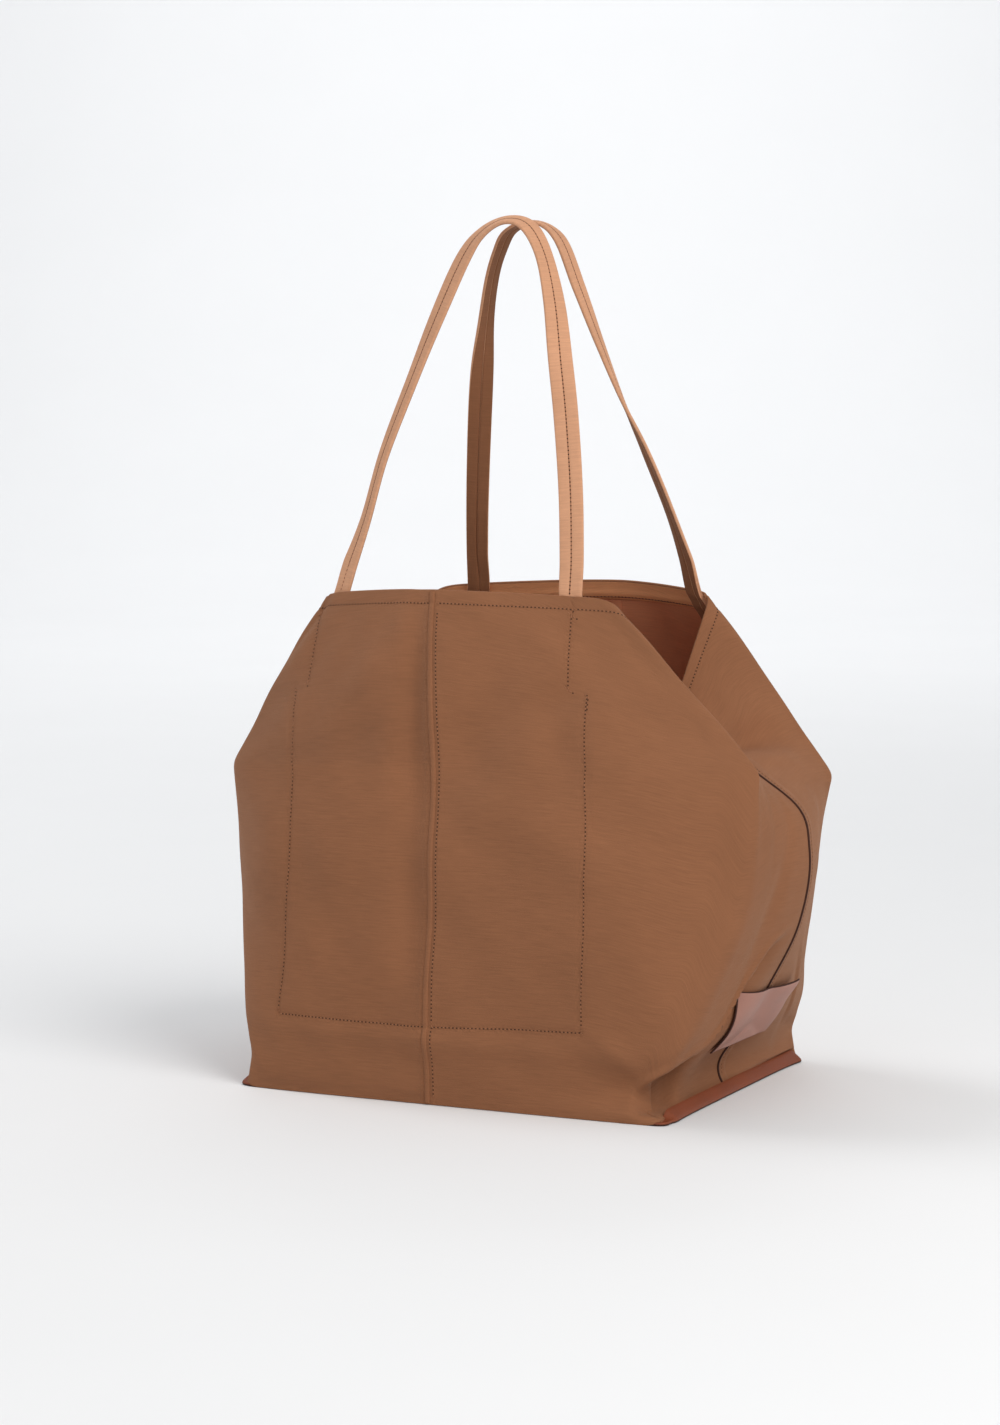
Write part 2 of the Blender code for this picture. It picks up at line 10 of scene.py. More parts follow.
import bpy
import numpy as np
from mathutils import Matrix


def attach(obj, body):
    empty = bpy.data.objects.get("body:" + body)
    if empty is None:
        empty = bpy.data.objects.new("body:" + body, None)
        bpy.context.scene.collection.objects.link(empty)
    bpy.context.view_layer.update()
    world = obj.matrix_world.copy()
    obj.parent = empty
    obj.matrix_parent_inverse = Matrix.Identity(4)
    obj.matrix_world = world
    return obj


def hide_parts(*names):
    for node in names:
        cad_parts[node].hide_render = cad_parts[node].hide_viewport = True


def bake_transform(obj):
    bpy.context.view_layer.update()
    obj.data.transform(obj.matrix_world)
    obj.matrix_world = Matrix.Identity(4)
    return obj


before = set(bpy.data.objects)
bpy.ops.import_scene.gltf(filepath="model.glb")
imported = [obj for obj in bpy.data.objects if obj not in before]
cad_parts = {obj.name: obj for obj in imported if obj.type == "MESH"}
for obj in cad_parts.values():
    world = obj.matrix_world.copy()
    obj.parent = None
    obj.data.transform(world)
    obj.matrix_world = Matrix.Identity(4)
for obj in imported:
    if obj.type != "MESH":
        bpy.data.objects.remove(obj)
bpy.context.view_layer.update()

# Body
BODY_HEIGHT = 0.405
HALF_LENGTH = 0.183
HALF_DEPTH = 0.15
SIZE = np.array((HALF_LENGTH, HALF_DEPTH, BODY_HEIGHT))
CLOTH = 0.0014
HEM_CLOTH = 0.001
GAP = 0.0003
FLOOR_CLEARANCE = 0.0005
LEATHER_THICKNESS = 0.003
EDGE_LEVEL = 0.66  # where the tucked mouth begins
EDGE_RAMP = 0.06  # ring distance over which the wall steps up onto the leather

# Front and back centre seams: level, sideways, outwards
CENTRE = (
    (0.0, 0.093, 1.0), (0.08, 0.093, 1.003), (0.2, 0.098, 1.003), (0.35, 0.09, 0.995),
    (0.5, 0.093, 0.967), (0.65, 0.12, 0.893), (0.8, 0.164, 0.793), (0.9, 0.197, 0.7), (1.0, 0.235, 0.593),
)
# Corner line of the wall, floor to elbow: level, sideways, outwards, up
CORNER = (
    (0.0, 1.0, 0.98, 0.0), (0.03, 1.0, 0.97, 0.03), (0.08, 1.0, 0.94, 0.08), (0.16, 1.06, 0.853, 0.16),
    (0.23, 1.092, 0.78, 0.23), (0.36, 1.16, 0.66, 0.36), (0.5, 1.206, 0.593, 0.495),
)
# Side seam, floor to ledge: level, sideways, towards its own face, up
SIDE = (
    (0.0, 0.985, 0.0, 0.0), (0.05, 0.95, 0.0, 0.05), (0.09, 0.995, 0.0, 0.09), (0.16, 1.085, 0.0, 0.16),
    (0.22, 1.158, 0.0, 0.22), (0.36, 1.328, 0.053, 0.36), (0.5, 1.388, 0.12, 0.504),
    (0.6, 1.335, 0.16, 0.593), (0.66, 1.2, 0.28, 0.652),
)
# Side seam in the tuck, ledge to the bottom of the mouth's notch
TUCK = ((0.66, 1.2, 0.28, 0.652), (0.8, 0.995, 0.1, 0.69), (1.0, 0.71, 0.0, 0.753))
# How boxy a wall is from its centre seam to its corner line: level, power
BOX = ((0.0, 6.0), (0.22, 6.0), (0.38, 5.0), (0.5, 4.2), (0.66, 3.2), (0.8, 2.8),
       (0.92, 2.2), (1.0, 1.5))
DROP_POWER = 1.6
# How far the side wall swells between corner line and side seam: level, outwards
SWELL = (
    (0.0, 0.0), (0.05, 0.005), (0.09, 0.022), (0.16, 0.05), (0.22, 0.05), (0.36, 0.027), (0.5, 0.033),
    (0.6, 0.016), (0.66, 0.0), (0.8, -0.022), (1.0, 0.0),
)
# Each quarter: side, face, elbow and rim corner as shares of SIZE
QUARTERS = {
    "front_right": (1, -1, (1.27, 0.533, 0.669), (0.6, 0.473, 0.99)),
    "back_right": (1, 1, (1.298, 0.547, 0.624), (0.754, 0.42, 0.983)),
    "back_left": (-1, 1, (1.272, 0.533, 0.642), (0.645, 0.467, 0.98)),
    "front_left": (-1, -1, (1.264, 0.533, 0.634), (0.858, 0.413, 0.98)),
}
RING = tuple(QUARTERS)
# The pushed-in base corner: level, depth
DENT = ((0.0, 0.0), (0.02, 0.0), (0.045, 0.085), (0.08, 0.08), (0.12, 0.035), (0.17, 0.0),
        (1.0, 0.0))
DENT_WIDTH = 0.35
# Rounding of the folds round the ring: level, reach in ring units. Crisp where the mouth is tucked.
ROUNDING = ((0.0, 0.026), (0.1, 0.034), (0.3, 0.07), (0.5, 0.07), (0.6, 0.046), (0.66, 0.026),
            (0.86, 0.022), (0.95, 0.045), (1.0, 0.075))
ROUND_STEPS = 4  # reach of the rounding up and down, in fine levels
KEEP_CORNER = 0.6  # share of its lost height that a rounded corner gets back
KEEP_FADE = (0.88, 0.98)  # levels over which that share runs out
KEEP_REACH = 2.2  # how far round, in reaches of the rounding
FINE_RING = 280  # fine grid that the rounding works on: cells in one ring unit, levels
FINE_LEVEL = 400
PAD_LEVEL = 18  # levels added past the floor edge and the rim

# Lip of the leather base: out from the wall's foot, how far in and up its top edge lies, its front end
LIP = 0.0045
LIP_DEPTH = 0.0096
LIP_HEIGHT = 0.0092
LIP_END = -0.128  # on the right; on the left it runs on to the corner
LEFT_LIP_END = -0.142
LIP_FLARE = 0.004  # at its ends it stands this much further out
LIP_CURL = 0.25  # and higher by this share, both with a power of the way from the middle
CURL_POWER = 6
LIP_RISE = (-0.008, 0.002)  # way past its front end over which it rises
LIP_RISE_BACK = (0.146, 0.139)  # places towards its back end over which it sinks again
LIP_HOLD = (-0.004, 0.006)  # way past its front end over which it keeps the wall in
LIP_HOLD_BACK = (0.146, 0.138)
LIP_LEAN = 1.5  # over its top the wall may lean out by so much for each metre up

# Sewn pieces, in ring and level coordinates
# Pocket: level, ring of its left and of its right edge, which run straight down on the wall
POCKET_SIDES = (
    (0.0, -0.85, 0.69), (0.12, -0.79, 0.652), (0.16, -0.775, 0.636), (0.24, -0.728, 0.606),
    (0.33, -0.688, 0.58), (0.43, -0.661, 0.563), (0.52, -0.648, 0.549), (0.61, -0.632, 0.525),
    (0.65, -0.628, 0.515), (0.7, -0.664, 0.539), (0.78, -0.752, 0.601), (0.85, -0.856, 0.669),
    (1.0, -1.0, 0.75),
)
# Its bottom row: ring, level
POCKET_BOTTOM = ((-1.0, 0.15), (-0.77, 0.153), (0.0, 0.155), (0.33, 0.163), (0.64, 0.168), (1.0, 0.168))
POCKET_MOUTH = 0.79
POCKET_STITCH_TOP = 0.81
HEM_LEVEL = 0.963
HEM_STITCH_LEVEL = 0.976
HEM_INSIDE_RISE = 0.006  # its inner row over the hem's lower edge
WELT_STITCHES = 0.0052
FAR_FOOT = 0.85  # feet of a strap, by ring distance before and after the centre seam
NEAR_FOOT = 0.76
# Row that holds a strap end: level, ring distance from the foot towards the centre seam, for the
# near foot and for the far one
ANCHOR_LEAN = (
    (0.8, 0.212, 0.143), (0.84, 0.179, 0.095), (0.88, 0.142, 0.051), (0.92, 0.098, 0.006),
    (0.96, 0.045, -0.07), (0.98, 0.015, -0.105), (1.0, -0.012, -0.115),
)
ANCHOR_LOW = 0.822

# Grid of the body: cells between seam and corner line, corner line and side seam, floor and rim
FACE_CELLS = 84
CORNER_CELLS = 80
SIDE_CELLS = 54
LEVEL_CELLS = 200
CORNER_REACH = 0.15  # ring distance from a corner line over which its own cells reach
SEAM_COLUMNS = (0.0025, 0.005, 0.0075, 0.0125, 0.018, 1.965, 1.98, 1.99)  # more beside the seams
ROW_LEVELS = (0.0025, 0.9675, 0.9725, 0.9775, 0.9825, 0.9975)  # and along the hem's row
FOOT_LEVEL = 0.016  # under it the tan side of the cloth shows inside too
ROLL_STEPS = 9  # points over the rolled rim
QUARTER_GAP = GAP / 6  # so much of its edge is left out at a seam
HEM_FOOT = 0.003  # levels over which the foot of the rim's hem is thinner by this share
HEM_FOOT_LOSS = 0.6

# Soft forms of the walls: ring, level, half length, half width, tilt in degrees, height, in metres
FORMS = (
    (-0.09, 0.72, 0.075, 0.014, 90, -0.0085),  # hollow along the front seam, on its left
    (-0.08, 0.39, 0.055, 0.014, 90, -0.0055),
    (0.17, 0.72, 0.06, 0.024, 60, -0.0085),  # and on its right
    (0.3, 0.56, 0.07, 0.02, -30, 0.003),
    (0.15, 0.3, 0.06, 0.02, 60, 0.002),
    (0.5, 0.8, 0.032, 0.012, 25, -0.0034),  # dimple under the right strap's row
    (0.46, 0.71, 0.032, 0.014, 80, -0.0042),
    (0.68, 0.79, 0.04, 0.016, 60, 0.003),
    (0.8, 0.88, 0.05, 0.02, 60, -0.0025),
    (-0.45, 0.8, 0.06, 0.03, 40, 0.0022),
    (-0.6, 0.55, 0.08, 0.022, 85, -0.0025),
    (-0.95, 0.92, 0.035, 0.008, 75, -0.0022),  # crease beside the left strap's row
    (-0.02, 0.128, 0.15, 0.01, 0, 0.0034),  # bulge under the pocket
    (0.93, 0.016, 0.022, 0.005, 0, 0.0028),  # cloth rolled over the end of the lip
    (0.8, 0.128, 0.034, 0.006, -32, 0.0022),  # creases at the lower right
    (0.7, 0.1, 0.04, 0.01, -25, -0.0022),
    (1.64, 0.048, 0.09, 0.03, 4, -0.0085),  # the side wall drawn in over the lip
    (2.38, 0.785, 0.07, 0.016, -8, -0.013),  # hollows of the gussets
    (2.45, 0.705, 0.05, 0.01, 0, 0.003),  # and their ledges
    (6.38, 0.785, 0.07, 0.016, -8, -0.012),
    (6.45, 0.705, 0.05, 0.01, 0, 0.003),
    (1.5, 0.4, 0.06, 0.018, 65, -0.003),
    (2.6, 0.45, 0.07, 0.02, 80, -0.003),
    (4.1, 0.66, 0.075, 0.016, 90, -0.004),  # the back, alike but not the same
    (3.88, 0.52, 0.06, 0.018, 80, -0.0035),
    (3.45, 0.76, 0.06, 0.022, -40, 0.0025),
    (4.6, 0.62, 0.07, 0.022, 60, -0.003),
    (4.85, 0.25, 0.05, 0.014, 35, 0.0025),
    (3.3, 0.2, 0.06, 0.012, -25, -0.003),
    (5.6, 0.38, 0.06, 0.018, -65, -0.003),
    (6.7, 0.3, 0.06, 0.018, 70, 0.0025),
)
# Pushed-in corners of the base: ring of the corner, way round, depth of the hollow under the fold.
# The fold's path is ring distance from the corner and level.
CORNER_FOLDS = ((1, 1, 0.017), (7, -1, 0.002), (3, -1, 0.002), (5, 1, 0.008))
FOLD_PATH = ((-0.2, 0.01), (-0.13, 0.03), (0.0, 0.088), (0.16, 0.114), (0.34, 0.158), (0.4, 0.221),
             (0.52, 0.279), (0.95, 0.363))
FOLD_BEGIN = (-0.18, 0.02)  # ring distances over which a fold grows
FOLD_END = (0.95, 0.35)  # and over which it dies away
FOLD_DROP = (-0.006, 0.032)  # levels under the path over which the wall falls back
FOLD_REACH = 0.11  # how far down it stays back
FOLD_FOOT = 0.04
FOLD_CREST = (0.16, 0.008, 0.014)  # crest over the path: share of the depth, how far up, width
# Slow waves of the whole cloth: cycles round the ring, cycles over the height, phase, height
WAVES = ((7, 1.3, 0.4, 0.0007), (11, -2.1, 2.0, 0.0006), (17, 2.9, 4.1, 0.0005), (23, -3.7, 1.1, 0.0004),
         (31, 4.6, 5.2, 0.0003), (13, 5.3, 3.3, 0.0003))
SWAY_CYCLES = 3  # the waves sway to and fro round the ring
SWAY = 0.9
WAVE_ENDS = 0.1  # levels over which they die away at the floor and the rim
WAVE_SIDES = (0.85, 1.25)  # ring distance from a centre seam over which the side walls lose this share
WAVE_SIDE_LOSS = 0.8
RING_LENGTH = 0.19  # about how long one ring unit is

# Grooves along the stitch rows: depth in metres, half width in ring or level units
POCKET_SIDE_GROOVE = (0.001, 0.011)
POCKET_BOTTOM_GROOVE = (0.0013, 0.008)
HEM_GROOVE = (0.0007, 0.006)
ANCHOR_GROOVE = (0.0012, 0.02)
POCKET_FOOT_FADE = 0.004  # level or ring units over which a groove runs out at the end of its row
ROW_FADE = 0.01
FULL_PULL = 0.001  # depth of groove at which the cloth is fully puckered
WELT_PULL = (0.6, 0.0025)  # puckers beside the centre welts: share, half width in metres

# Centre welt, a flat arch: across from the seam, height
WELT_HALF_WIDTH = 0.0024
WELT_HEIGHT = 0.0014
WELT_POWER = 2.6
WELT_PROFILE = tuple(
    (a * WELT_HALF_WIDTH, WELT_HEIGHT * math.sqrt(max(1 - abs(a) ** WELT_POWER, 0)) - 0.0001)
    for a in np.linspace(-1, 1, 13))
# Side lap: across from the seam, height; its first cells are the painted edge
LAP_PROFILE = ((-0.0006, -0.0001), (-0.0006, 0.0006), (-0.0004, 0.0012), (0.0002, 0.0014), (0.0007, 0.0013),
               (0.002, 0.0012), (0.004, 0.0009), (0.005, 0.0008), (0.0062, 0.001), (0.0085, 0.0009),
               (0.011, 0.0004), (0.013, -0.0001))
LAP_PAINTED = 4
LAP_STITCHES = 0.005
LAP_ROW_LIFT = 0.0008
# Turned edge of the centre seams on the inside of the bag; the front one ends behind the pocket
INNER_SEAM_LOW = {"front": 0.45, "back": 0.012}
INNER_SEAM_PROFILE = ((-0.005, -0.0001), (-0.0048, 0.0006), (-0.0044, 0.001), (0.0044, 0.001),
                      (0.0048, 0.0006), (0.005, -0.0001))
INNER_SEAM_STITCHES = 0.003
INNER_SEAM_TOP = 0.001
FOOT_IN = 0.0002  # how far the foot of a ridge lies in the cloth
RIDGE_ENDS = (0.004, 0.999)  # levels between which the welts, laps and inner seams run

# Colours, linear
TAN = (0.259, 0.107, 0.0495)
# lighter copy of the tan canvas for the straps' outer face: painted light where they catch the lamps
STRAP_PAINTED_LIGHT_TAN = (0.6, 0.31, 0.18)
# lighter copy of the tan canvas for the hem inside the rim: painted light on the inside of the mouth
HEM_PAINTED_LIGHT_TAN = (0.75, 0.335, 0.157)
RUSSET = (0.62, 0.235, 0.12)
COGNAC = (0.205, 0.053, 0.022)
ROSE = (0.38, 0.185, 0.14)
EDGE_PAINT = (0.046, 0.013, 0.006)
# near-black brown of the discs between stitches: painted shade of the needle holes
NEEDLE_HOLE_SHADE = (0.07, 0.028, 0.014)
TAN_THREAD_COLOUR = (0.32, 0.135, 0.063)
RUSSET_THREAD_COLOUR = (0.23, 0.08, 0.042)
BOARD = (0.22, 0.18, 0.14)
PAPER = (0.81, 0.815, 0.825)
SHEEN_TINT = (1.0, 0.74, 0.54, 1.0)
SHEEN_ROUGHNESS = 0.45
NOISE_RANGE = (0.3, 0.7)  # where nearly all values of a noise lie
# Canvas: pitch of its threads, then stretches of its noises in cells to the metre
WEAVE_PITCH = 0.00075
SLUBS = (45, 800, 45)
DYE = (9, 14, 9)
FUZZ = (1500, 1500, 1500)
PUCKER = (260, 260, 260)
PUCKER_HEIGHT = 9.0  # against 1 for the slubs
WEAVE_HEIGHT = 0.25
FUZZ_HEIGHT = 0.35
CANVAS_DEPTH = 0.00018
# Materials of one fine noise: colour, roughness, sheen, specular level, cells to the metre, octaves,
# darkest and lightest shade, depth
MOTTLED = {
    "dark_edge_paint": (EDGE_PAINT, 0.7, 0.0, 0.3, 350.0, 3.0, 0.85, 1.15, 0.00008),
    # dark spots between the stitches: painted shade of the needle holes
    "needle_hole_painted_shade": (NEEDLE_HOLE_SHADE, 0.9, 0.0, 0.3, 350.0, 3.0, 0.85, 1.15, 0.00008),
    "tan_thread": (TAN_THREAD_COLOUR, 0.6, 0.05, 0.3, 2500.0, 2.0, 0.85, 1.12, 0.00006),
    "russet_thread": (RUSSET_THREAD_COLOUR, 0.6, 0.05, 0.3, 2500.0, 2.0, 0.85, 1.12, 0.00006),
    "base_board_face": (BOARD, 0.9, 0.0, 0.5, 260.0, 5.0, 0.8, 1.2, 0.0002),
    "pale_paper": (PAPER, 0.9, 0.0, 0.5, 3.0, 3.0, 0.995, 1.005, 0.00001),
}

# Inner pocket
POCKET_CELLS = (170, 150)  # columns and rows of points
POCKET_CLOTH = 0.001
POCKET_HEM = 0.05  # height of its hem, as a level
POCKET_HEM_ROW = 0.01  # its stitches over the hem's edge, as a share of the rise
POCKET_BELLY = 0.017  # how far it hangs open, with powers of the sine across and of the rise
BELLY_ACROSS_POWER = 0.8
BELLY_RISE_POWER = 1.5
RIPPLE = (0.001, 9.0, 2.0)  # height, angle over the width, phase
POCKET_START_LEVEL = 0.16  # first guess of a level, made better in a few steps
POCKET_GUESSES = 3

# Label: corners as ring from the side seam and level, from its front top corner round by the back
LABEL = ((-0.46, 0.222), (0.41, 0.222), (0.33, 0.112), (-0.4, 0.1))
LABEL_CELLS = 37
LABEL_RIM = 0.012  # share of its width that shows as painted edge
LABEL_THICKNESS = 0.0016
LABEL_ROUND = 0.0004  # by how much its edge is thinner, and over which share of its width
LABEL_ROUND_REACH = 0.02
LABEL_OFF = 0.0012  # it bridges the lap, so it keeps off the wall
LABEL_STIFFNESS = 0.95  # share of the way from the wall to a flat sheet over its hollows
STIFF_FROM = 0.002  # depth of a hollow from which that share is full
LABEL_LIFT = 0.0045  # its back top corner stands off further
LIFT_ACROSS = (0.35, 1.0)
LIFT_DOWN = (0.45, 0.0)

# Stitches
STITCH_PITCH = 0.0032
STITCH_GAP = 0.4  # share of the pitch between two stitches
STITCH_RADIUS = 0.00037
STITCH_TAPER = 0.96  # under 1, so that its ends keep some girth
STITCH_RISE = 0.00014  # its middle lies over the cloth, its ends dip in
STITCH_DIP = 0.00034
STITCH_RINGS = 7
STITCH_SIDES = 6  # the two quads of a hole's face need six
HOLE_LENGTH = 0.00085
HOLE_WIDTH = 0.00066
HOLE_RISE = 0.00009
BARTACK = 0.003  # half the size of a cross
BARTACK_PITCH = BARTACK * 1.4
BARTACK_POINTS = 5
ROW_POINTS = 220
HEM_ROW_POINTS = 500
POCKET_ROW_POINTS = (160, 200)  # sides, bottom
CENTRE_ROW = (0.015, 0.955)  # levels of the ends
LAP_ROW = (0.03, 0.94)
BACK_SEAM_ROW = (0.03, 0.95)
HEM_ROW = (0.02, 1.985)  # ring distances from the centre seam
HEM_INSIDE_ROW = 1.97
POCKET_ROW_GAP = (-0.016, 0.022)  # ring units that its bottom row leaves free at the centre welt
BACKTACK = slice(None, -9, -1)  # top points of a side row, sewn again on the way back, a little aside
BACKTACK_ASIDE = 0.006
ANCHOR_TOP = 0.008  # metres under the rim
ANCHOR_POINTS = 40
ANCHOR_ENDS = (("top", 4), ("bottom", -1))  # its points that get a cross

# Leather base, board and lining
BASE_DEPTH = 0.2955
BASE_CORNER = 0.008
BASE_STEPS = 90
# Section of the lip: in from the outer edge, height
LIP_SECTION = ((0.1, 0.0), (0.03, 0.0), (0.004, 0.0), (0.0012, 0.0002), (0.0, 0.0008), (0.0, 0.0016),
               (0.0005, 0.003), (0.0018, 0.0042), (0.0042, 0.006), (0.0068, 0.0078), (0.0085, 0.0089),
               (0.0094, 0.0092), (0.0096, 0.0085), (0.0084, 0.0068), (0.007, 0.0045), (0.0068, 0.003),
               (0.03, 0.003), (0.1, 0.003))
LIP_PAINTED = (2, 3, 4)  # which of its cells are painted
BOARD_THICKNESS = 0.002
BOARD_MARGIN = 0.016
LINING_CELLS = (90, 80)
LINING_CORNER = 0.025  # share by which its corners are pulled in
LINING_CLOTH = 0.0013
LINING_WAVE = 0.0006
LINING_TURNS = ((23, 9), (-6, 17), (61, 0), (0, 53))  # radians to the metre along x and y

# Shoulder straps
STRAP_WIDTH = 0.02
STRAP_THICKNESS = 0.003
STRAP_INSET = CLOTH / 2 + GAP + HEM_CLOTH + GAP + STRAP_THICKNESS / 2
STRAP_RISE = 0.301
TAIL_LENGTH = 0.072
CROWN_OFFSET = 0.0125  # how far the middle of the loop lies from the middle of the bag
STRAP_EASING = 0.03
STRAP_EDGE = 0.0013  # radius of its folded edges
EDGE_STEPS = 7
EDGE_FLAT = 0.001  # flat beside the edge on the inner face
EDGE_SWELL = (0.004, 0.0001)  # swell on the outer face: in from the edge, height
INNER_CLOTH = 0.0004  # height up to which the edge still shows the inner face's colour
LOOP_STEPS = 280
TAIL_STEPS = 40
LEAN_LIMIT = 0.9  # level over which a strap end comes back to its foot
LEAN_FADE = 0.1
# Half a section by the slit of the inner face and by the stitches of the outer one: across, height
SLIT = ((0.0, 0.0011), (0.0003, 0.0004), (0.0009, 0.0), (0.002, -0.0001), (0.005, 0.0))
STITCHED = ((0.0035, 0.0), (0.0015, -0.00005), (0.0006, -0.0003), (0.0, -0.00035))
# Loop of each strap from its far foot to its near one: across, up
FRONT_LOOP = (
    (0.0, 0.0), (0.087, 0.186), (0.15, 0.374), (0.252, 0.582), (0.333, 0.74), (0.427, 0.9), (0.502, 0.97),
    (0.598, 1.0), (0.69, 0.982), (0.765, 0.905), (0.824, 0.78), (0.87, 0.626), (0.916, 0.465),
    (0.964, 0.25), (1.0, 0.0),
)
BACK_LOOP = (
    (0.0, 0.0), (0.09, 0.206), (0.188, 0.384), (0.275, 0.522), (0.357, 0.676), (0.43, 0.824),
    (0.5, 0.955), (0.603, 1.0), (0.712, 0.978), (0.768, 0.925), (0.82, 0.837), (0.871, 0.686),
    (0.917, 0.495), (0.968, 0.226), (1.0, 0.0),
)
# Direction of the outer face along each loop: way along, x, y, z
FRONT_FACING = (
    (0.0, -0.3, -0.93, 0.2), (0.05, -0.58, -0.78, 0.2), (0.2, -0.6, -0.75, 0.3),
    (0.33, -0.42, -0.85, 0.35), (0.42, -0.3, -0.55, 0.75), (0.5, 0.0, -0.3, 0.95),
    (0.58, 0.4, -0.25, 0.85), (0.66, 0.75, -0.25, 0.6), (0.72, 0.75, -0.5, 0.35), (0.8, 0.5, -0.85, 0.15),
    (0.87, 0.32, -0.94, 0.05), (1.0, 0.05, -0.97, 0.2),
)
BACK_FACING = (
    (0.0, 0.4, 0.88, 0.2), (0.055, 0.72, 0.68, 0.1), (0.135, 0.8, 0.6, 0.1), (0.2, 0.91, 0.4, 0.1),
    (0.27, 0.96, 0.18, 0.15), (0.33, 0.95, 0.0, 0.2), (0.375, 0.93, -0.1, 0.33), (0.42, 0.8, -0.1, 0.6),
    (0.46, 0.42, 0.0, 0.9), (0.51, 0.0, 0.0, 1.0), (0.57, -0.35, 0.0, 0.93), (0.64, -0.8, 0.05, 0.55),
    (0.7, -0.92, 0.05, 0.4), (0.76, -0.92, 0.15, 0.3), (0.85, -0.45, 0.85, 0.15), (0.92, -0.1, 0.98, 0.1),
    (1.0, 0.1, 0.97, 0.2),
)

# Camera, floor and light
CAMERA_PLACE = (1.268, -2.719, 0.6)
CAMERA_TURN = (math.pi / 2 - 0.0995, 0.0, math.radians(25.42))
LENS = 92.69
SENSOR = 36.0
BEHIND = (-math.sin(math.radians(25)), math.cos(math.radians(25)))
WORLD_COLOUR = (0.97, 0.985, 1.0)
WORLD_POWER = 0.46
SWEEP_REACH = 5.0  # where the floor begins to turn up, and the radius of the turn
SWEEP_RADIUS = 2.5
SWEEP_STEPS = 24
FLOOR_PLACES = (-8.0, *np.linspace(-6, SWEEP_REACH, 12))
PAPER_HEIGHT = 8.0
PAPER_HALF_WIDTH = 9.0
# Name, place, aim, size, power, colour
LIGHTS = (
    ("key", (2.3, -1.15, 2.4), (0, 0, 0.25), 2.2, 72.0, (1.0, 0.98, 0.95)),
    ("left", (-2.2, 0.1, 2.9), (0, 0, 0.3), 1.6, 34.0, (1.0, 1.0, 1.0)),
    ("front", (-0.6, -3.2, 0.35), (0, 0, 0.1), 1.5, 12.0, (1.0, 1.0, 1.0)),
    ("backdrop", (-1.9, 4.1, 4.0), (-2.7, 5.8, 0.4), 4.0, 116.0, (1.0, 1.0, 1.0)),
)


def read_curve(table, at):
    """Smooth Hermite curve through a table whose first column is the place along it."""
    rows = np.array(table, float)
    place, value = rows[:, 0], rows[:, 1:]
    at = np.asarray(at, float)
    slope = np.gradient(value, place, axis=0)
    i = np.clip(np.searchsorted(place, at, side="right") - 1, 0, len(place) - 2)
    step = place[i + 1] - place[i]
    k = np.clip((at - place[i]) / step, 0, 1)[..., None]
    step = step[..., None]
    return ((2 * k**3 - 3 * k**2 + 1) * value[i] + (k**3 - 2 * k**2 + k) * step * slope[i]
            + (3 * k**2 - 2 * k**3) * value[i + 1] + (k**3 - k**2) * step * slope[i + 1])


def unit(vector):
    return vector / np.maximum(np.linalg.norm(vector, axis=-1, keepdims=True), 1e-12)


def smoothstep(low, high, value):
    k = np.clip((value - low) / (high - low), 0, 1)
    return k * k * (3 - 2 * k)


def bell(distance, width):
    return np.exp(-(distance / width) ** 2)


def wrap(offset):
    """Ring distance, the short way round."""
    return np.mod(offset + 4, 8) - 4


def way_along(points):
    """Length of a line of points up to each of them; a grid holds one line in each column."""
    step = np.linalg.norm(np.diff(points, axis=0), axis=-1)
    return np.concatenate((np.zeros((1,) + step.shape[1:]), np.cumsum(step, axis=0)))


def across_to(vector, direction):
    """Unit vector of what is left of a vector across a direction."""
    return unit(vector - direction * np.sum(vector * direction, -1, keepdims=True))


def corner_line(name, level):
    """Wall corner: the table up to the elbow, then straight along the tucked fold to the rim."""
    elbow, rim = QUARTERS[name][2:]
    low = read_curve(CORNER + ((EDGE_LEVEL,) + elbow,), np.minimum(level, EDGE_LEVEL))
    way = np.clip((level - EDGE_LEVEL) / (1 - EDGE_LEVEL), 0, 1)[..., None]
    return np.where(way > 0, np.array(elbow) * (1 - way) + np.array(rim) * way, low) * SIZE


def side_seam(name, level):
    """Side seam: it slips towards the front on the right and towards the back on the left."""
    side = QUARTERS[name][0]
    low = read_curve(SIDE, np.minimum(level, EDGE_LEVEL))
    high = read_curve(TUCK, np.maximum(level, EDGE_LEVEL))
    return np.where(level[..., None] > EDGE_LEVEL, high, low) * SIZE * np.array((side, -side, 1))


def face_point(name, across, level):
    """Wall: x runs straight from seam to corner, y falls away with a power of the way across."""
    side, face = QUARTERS[name][:2]
    seam = read_curve(CENTRE, level)
    seam_x, seam_y = face * seam[..., 0] * HALF_LENGTH, seam[..., 1] * HALF_DEPTH
    corner = corner_line(name, level)
    fall = across ** read_curve(BOX, level)[..., 0]
    height = level * BODY_HEIGHT
    return np.stack((seam_x + (side * corner[..., 0] - seam_x) * across,
                     face * (seam_y + (corner[..., 1] - seam_y) * fall),
                     height + (corner[..., 2] - height) * across**DROP_POWER), -1)


def side_point(name, across, level):
    """Side wall: straight from corner to side seam, swollen by a parabola."""
    side, face = QUARTERS[name][:2]
    corner = corner_line(name, level) * np.array((side, face, 1))
    point = corner + (side_seam(name, level) - corner) * across[..., None]
    swell = read_curve(SWELL, level)[..., 0] * HALF_LENGTH
    point[..., 0] += side * swell * 4 * across * (1 - across)
    return point


